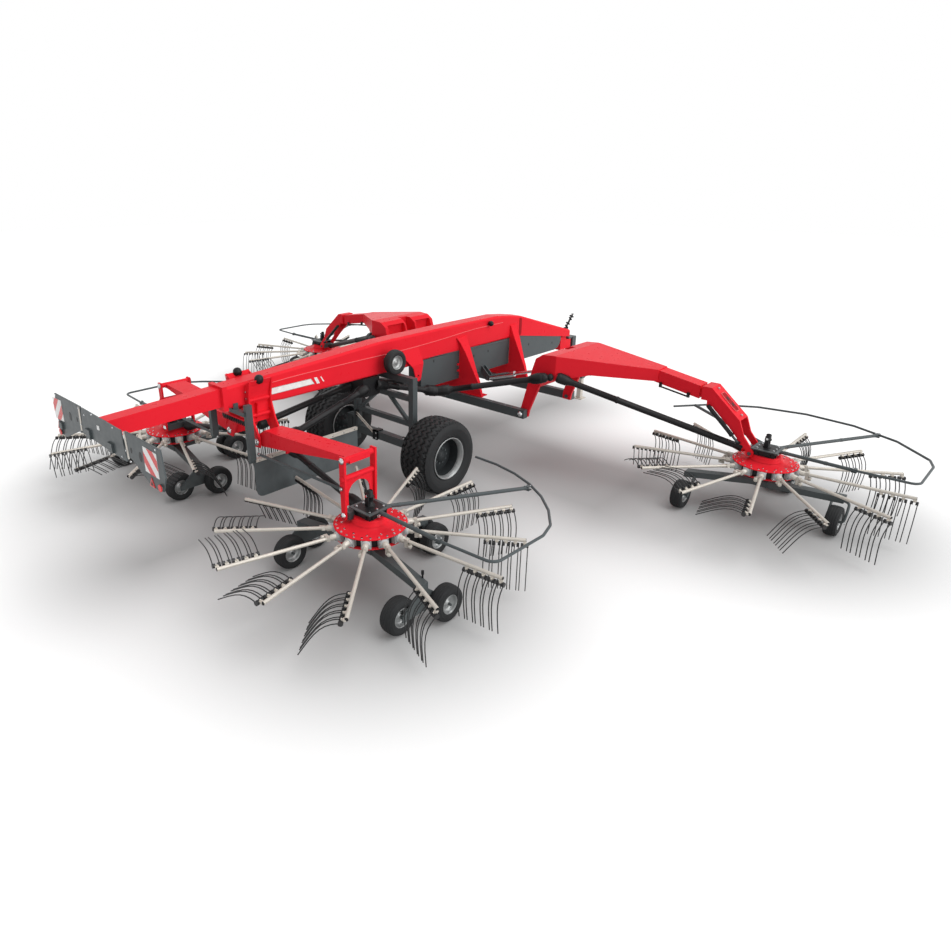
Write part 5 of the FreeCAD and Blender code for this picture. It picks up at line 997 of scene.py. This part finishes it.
class RAKE_OT_forks(bpy.types.Operator):
    """Tilt cylinders, ribs and stops on the front arms and their forks"""
    bl_idname = "rake.forks"
    bl_label = "Front fork fittings"

    def execute(self, context):
        fork = Shape(STATION)
        top, foot = np.array([2.274, 3.800, 1.318]), np.array([2.274, 4.250, 0.912])
        line = foot - top
        for start, end, radius, finish, sides in ((0.0, 0.78, 0.027, "black", 16), (0.75, 0.80, 0.031, "black", 16),
                                                  (0.80, 1.0, 0.016, "grey", 12)):
            fork.tube([top + line * start, top + line * end], radius, finish, sides)
        for spot, lift in ((top, 0.10), (foot, 0.11)):
            fork.tube([spot - (0.022, 0, 0), spot + (0.042, 0, 0)], 0.020, "black", 14)
            ear = np.array([(-0.030, -0.020), (0.030, -0.020), (0.045, lift), (-0.045, lift)])
            fork.plate(0, spot[0] + 0.026, ear + spot[1:], 0.010, "red")
        # The recessed panel on the fork cover is drawn flat. A pale red ring is the painted highlight of its rim, and a
        # deep red plate inside is painted shade. Two black slots lie on it.
        turn = round_turn(32)
        square = rounded_square(np.cos(turn))[:, None], rounded_square(np.sin(turn))[:, None]
        ring = PANEL + OUT * 0.002 + DOWN * 0.150 * square[0] + LEVEL * 0.062 * square[1]
        fork.tube(np.concatenate([ring, ring[:1]]), 0.006, "edge", 8, False)
        fork.prism(ring, OUT * 0.003, "shade")
        for along in (-0.05, 0.05):
            slot = PANEL + OUT * 0.006 + DOWN * (along + 0.030 * np.cos(turn))[:, None]
            fork.prism(slot + LEVEL * 0.020 * np.sin(turn)[:, None], OUT * 0.0015, "black")
        for along in (-0.225, 0.225):
            fork.bolt(PANEL + DOWN * along + OUT * 0.001, OUT, 0.013)
        fork.pair("fork_fittings_", "front_slider_")
        arm = Shape(STATION)
        ends = np.array([(2.306, 3.100, 1.440), (2.306, 3.500, 1.378)])
        arm.tube(ends, 0.012, "black", 10)
        for spot in ends:
            arm.brick(spot + (0.006, 0, 0.022), (0.014, 0.018, 0.034), "black")
        arm.pair("front_arm_fittings_", "front_arm_")
        return {"FINISHED"}


# ---------------------------------------------------------------- gear heads and guards

class RAKE_OT_castor_forks(bpy.types.Operator):
    """Bent fork tubes beside the outer castors, and the pegs over the castor pivots"""
    bl_idname = "rake.castor_forks"
    bl_label = "Castor forks"

    def execute(self, context):
        hub = middle_of("castor_front_out_left")
        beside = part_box("castor_front_out_left")[1][1] + 0.030 - hub[1]
        shape = Shape(hub)
        path = [(0.0, 0.0, 0.0), (0.0, beside, 0.0), (0.03, beside + 0.010, 0.12), (0.14, beside, 0.215),
                (0.15, -0.03, 0.235)]
        shape.tube(rounded_path(path, 0.045), 0.016, "grey", 12)
        shape.bolt(np.array([0.0, beside + 0.012, 0.0]), (0, 1, 0), 0.016)
        shape.pair("castor_fork_", "front_slider_")
        peg = Shape(STATION + (-2.357, 3.000, 0.0))
        peg.tube([(0.0, 0.0, 0.300), (0.0, 0.0, 0.535)], 0.009, "black", 10)
        peg.tube([(0.0, 0.0, 0.505), (0.0, 0.0, 0.545)], 0.015, "black", 12)
        peg.pair("castor_peg_", "rear_arm_")
        return {"FINISHED"}


GUARD_Z = 0.872                             # height of the guard tubes


class RAKE_OT_heads(bpy.types.Operator):
    """Castings, adjusters, clamps and end caps on the gear heads and guards"""
    bl_idname = "rake.heads"
    bl_label = "Gear head fittings"

    def execute(self, context):
        for end, lay in ENDS.items():
            shape = Shape(STATION + (*lay["hub"], 0.0))
            adjuster(shape, np.array([0.020, -0.020, 0.892]))
            shape.brick((0.0, 0.0, 0.868), (0.127, 0.127, 0.0245), "black")
            shape.lathe((0, 0, 0), 2, [(0.742, 0.200), (0.748, 0.194), (0.764, 0.183), (0.790, 0.177), (0.799, 0.172),
                                       (0.802, 0.164), (0.802, 0.090)], "red", 56)
            for x, y in ((-0.10, -0.10), (0.10, -0.10), (-0.10, 0.10), (0.10, 0.10), (0.0, 0.105), (0.0, -0.105)):
                shape.bolt(np.array([x, y, 0.8925]), (0, 0, 1), 0.011)
            for way in (-1, 1):
                shape.brick((0.0, way * 0.1215, 0.823), (0.122, 0.0025, 0.022), "black")
                shape.brick((way * 0.1215, 0.0, 0.823), (0.0025, 0.122, 0.022), "black")
                shape.bolt(np.array([0.0, way * 0.124, 0.824]), (0, way, 0), 0.018)
                rib = [(way * 0.124, 0.803), (way * 0.142, 0.810), (way * 0.142, 0.842), (way * 0.124, 0.842)]
                for axis, level in ((0, -0.095), (0, 0.095), (1, -0.08), (1, 0.07)):
                    shape.plate(axis, level, rib, 0.010, "black")
            for start, finish in (((0.150, 0.100), (1.560, 0.905)), ((0.0, 0.150), (-0.015, 1.000))):
                start, finish = np.array([*start, GUARD_Z]), np.array([*finish, GUARD_Z])
                half = (finish - start) / np.linalg.norm(finish - start) * 0.020
                for share in (0.08, 0.62, 0.985):
                    here = start + (finish - start) * share
                    shape.tube([here - half, here + half], 0.0245, "grey", 16)
            clamp(shape, np.array([1.560, 0.905, GUARD_Z]), 0.030)
            clamp(shape, np.array([-0.015, 0.985, GUARD_Z]), 0.027)
            shape.pair("head_fittings_%s_" % end, {"front": "front_slider_", "rear": "rear_arm_"}[end])
        return {"FINISHED"}


def adjuster(shape, foot):
    """The black height adjuster on a gear head, with its side plate and bolt."""
    shape.lathe(foot, 2, [(0, 0.052), (0.010, 0.050), (0.014, 0.034), (0.090, 0.032), (0.094, 0.042), (0.110, 0.042),
                          (0.114, 0.033), (0.168, 0.031), (0.172, 0.024)], "black", 20)
    shape.brick(foot + (-0.045, 0.0, 0.075), (0.008, 0.026, 0.075), "black")
    shape.bolt(foot + (-0.053, 0.0, 0.120), (-1, 0, 0), 0.013)


def clamp(shape, centre, half):
    """A two-plate clamp with two bolts round a guard tube."""
    for way in (-1, 1):
        shape.brick(centre + (0, 0, way * 0.021), (half, half, 0.0035), "grey")
    for way in (-0.6, 0.6):
        shape.bolt(centre + (way * half, way * half, 0.0245), (0, 0, 1), 0.007)


# ---------------------------------------------------------------- stage

def sun_light(name, place, strength, spread):
    """Add a sun that shines from a place towards the middle of the machine, as wide as its spread in degrees."""
    lamp = bpy.data.lights.new(name, "SUN")
    lamp.energy = strength
    lamp.angle = math.radians(spread)
    thing = bpy.data.objects.new(name, lamp)
    thing.location = place
    thing.rotation_euler = (Vector((0, 0, 1)) - Vector(place)).to_track_quat("-Z", "Y").to_euler()
    bpy.context.scene.collection.objects.link(thing)


# Where shade lies on the floor: rectangles with their centres from the station, half sizes and rounding.
SHADED = (
    (ENDS["rear"]["hub"], (0.0, 0.0), 0.9),
    (ENDS["front"]["hub"], (0.0, 0.0), 0.9),
    ((0.35, 0.0), (4.1, 0.0), 0.0),
    ((1.7, 0.0), (0.7, 3.0), 0.0),
    ((-1.2, 0.0), (1.2, 1.5), 0.0),
)
FLOOR = 60.0                        # half the floor's width
SHADE_BLEND = 1.6                   # over which distance two rectangles' shades run together
SHADE_FULL, SHADE_END = -0.6, 2.2   # distances between which the shade fades


def box_distance(across, along, centre, half):
    """Distance from a rectangle on the floor: the root of the squares of how far each coordinate is beyond it."""
    beyond, beside = ((abs(place - middle) - reach).math("MAXIMUM", 0.0)
                      for place, middle, reach in zip((across, along), centre, half))
    return (beyond * beyond + beside * beside).math("SQRT")


def floor_material():
    """Pale floor, white away from the machine and softly grey in the pool of shade that lies round it."""
    paint = Paint("Studio floor")
    across, along = paint.along("X"), abs(paint.along("Y"))
    near, *others = (box_distance(across, along, STATION[:2] + centre, half) - rounding
                     for centre, half, rounding in SHADED)
    for other in others:
        near = paint.node("ShaderNodeMath", {"operation": "SMOOTH_MIN"}, {0: near, 1: other, 2: SHADE_BLEND})
    light = paint.range(near, SHADE_FULL, SHADE_END, 0.0, 1.0, "SMOOTHSTEP")
    colour = paint.mix(light, (0.36, 0.36, 0.36), (0.88, 0.88, 0.88))
    glow = paint.mix(light, (0.0, 0.0, 0.0), (0.22, 0.22, 0.22))
    diffuse = paint.node("ShaderNodeBsdfDiffuse", {}, {"Color": colour}, "BSDF")
    white = paint.node("ShaderNodeEmission", {}, {"Color": glow, "Strength": 1.0}, "Emission")
    both = paint.node("ShaderNodeAddShader", {}, {0: diffuse, 1: white})
    shader = paint.node("ShaderNodeMixShader", {}, {0: paint.seen(), 1: diffuse, 2: both})
    paint.node("ShaderNodeOutputMaterial", {}, {"Surface": shader})
    return paint.made


def white_world():
    """A white world, dimmer for light than for the camera and reflections."""
    paint = Paint("Studio world", "worlds")
    level = paint.range(paint.seen(), 0.0, 1.0, 0.58, 1.0)
    back = paint.node("ShaderNodeBackground", {}, {"Color": (1.0, 1.0, 1.0, 1.0), "Strength": level}, "Background")
    paint.node("ShaderNodeOutputWorld", {}, {"Surface": back})
    return paint.made


class RAKE_OT_stage(bpy.types.Operator):
    """Set the floor, the soft lamps, the pale world and the camera"""
    bl_idname = "rake.stage"
    bl_label = "Stage and camera"

    def execute(self, context):
        scene = context.scene
        scene.view_settings.view_transform = "Standard"
        mesh = bpy.data.meshes.new("Studio_floor")
        corners = [(x * FLOOR, y * FLOOR, 0.0) for x, y in ((-1, -1), (1, -1), (1, 1), (-1, 1))]
        mesh.from_pydata(corners, [], [(0, 1, 2, 3)])
        mesh.materials.append(floor_material())
        floor = bpy.data.objects.new("Studio_floor", mesh)
        scene.collection.objects.link(floor)
        scene.world = white_world()
        sun_light("Key", (2.5, -4.0, 14.0), 0.95, 40.0)
        sun_light("Side", (2.5, -10.0, 5.0), 1.45, 50.0)
        add_camera(scene)
        return {"FINISHED"}


# The view's width, focal length and middle, in one unit; the sensor's width in millimetres; the camera's
# direction in degrees; and its place from the station.
VIEW, FOCAL, MIDDLE = 951.0, 676.24, (421.66, 433.34)
SENSOR = 36.0
YAW, PITCH, ROLL = 43.56, 20.36, 0.13
CAMERA = (-6.490, -6.913, 4.079)


def add_camera(scene):
    """Place the camera behind and above the machine's right rear corner."""
    data = bpy.data.cameras.new("Camera")
    data.sensor_width = SENSOR
    data.lens = FOCAL / VIEW * SENSOR
    data.shift_x = (VIEW / 2 - MIDDLE[0]) / VIEW
    data.shift_y = (MIDDLE[1] - VIEW / 2) / VIEW
    data.clip_end = 200.0
    camera = bpy.data.objects.new("Camera", data)
    yaw, pitch, roll = (math.radians(angle) for angle in (YAW, PITCH, ROLL))
    forward = Vector((math.cos(pitch) * math.cos(yaw), math.cos(pitch) * math.sin(yaw), -math.sin(pitch)))
    turn = forward.to_track_quat("-Z", "Y").to_matrix() @ Matrix.Rotation(roll, 3, "Z")
    camera.matrix_world = Matrix.Translation(Vector(at(*CAMERA))) @ turn.to_4x4()
    scene.collection.objects.link(camera)
    scene.camera = camera


class RAKE_PT_panel(bpy.types.Panel):
    """Sidebar panel that lists the rake's sizes, colours and operators"""
    bl_idname = "RAKE_PT_panel"
    bl_label = "Rotary rake"
    bl_space_type = "VIEW_3D"
    bl_region_type = "UI"
    bl_category = "Rake"

    def draw(self, context):
        layout = self.layout
        for group in (context.scene.rake_sizes, context.scene.rake_colours):
            for name in group.__annotations__:
                layout.prop(group, name)
        for operator in OPERATORS:
            layout.operator(operator.bl_idname)


OPERATORS = (RAKE_OT_finishes, RAKE_OT_wheels, RAKE_OT_rotors, RAKE_OT_curtain, RAKE_OT_shafts, RAKE_OT_board,
             RAKE_OT_beam, RAKE_OT_brackets, RAKE_OT_forks, RAKE_OT_castor_forks, RAKE_OT_heads, RAKE_OT_stage)
CLASSES = (RakeColours, RakeSizes, *OPERATORS, RAKE_PT_panel)


def register():
    """Register the classes and hang the property groups on the scene."""
    for item in CLASSES:
        bpy.utils.register_class(item)
    bpy.types.Scene.rake_sizes = PointerProperty(type=RakeSizes)
    bpy.types.Scene.rake_colours = PointerProperty(type=RakeColours)


def unregister():
    """Take the property groups and classes away again."""
    del bpy.types.Scene.rake_colours
    del bpy.types.Scene.rake_sizes
    for item in reversed(CLASSES):
        bpy.utils.unregister_class(item)


def main():
    """Dress the whole rake."""
    register()
    for operator in OPERATORS:
        getattr(bpy.ops.rake, operator.bl_idname.split(".")[1])()


if __name__ == "__main__":
    main()
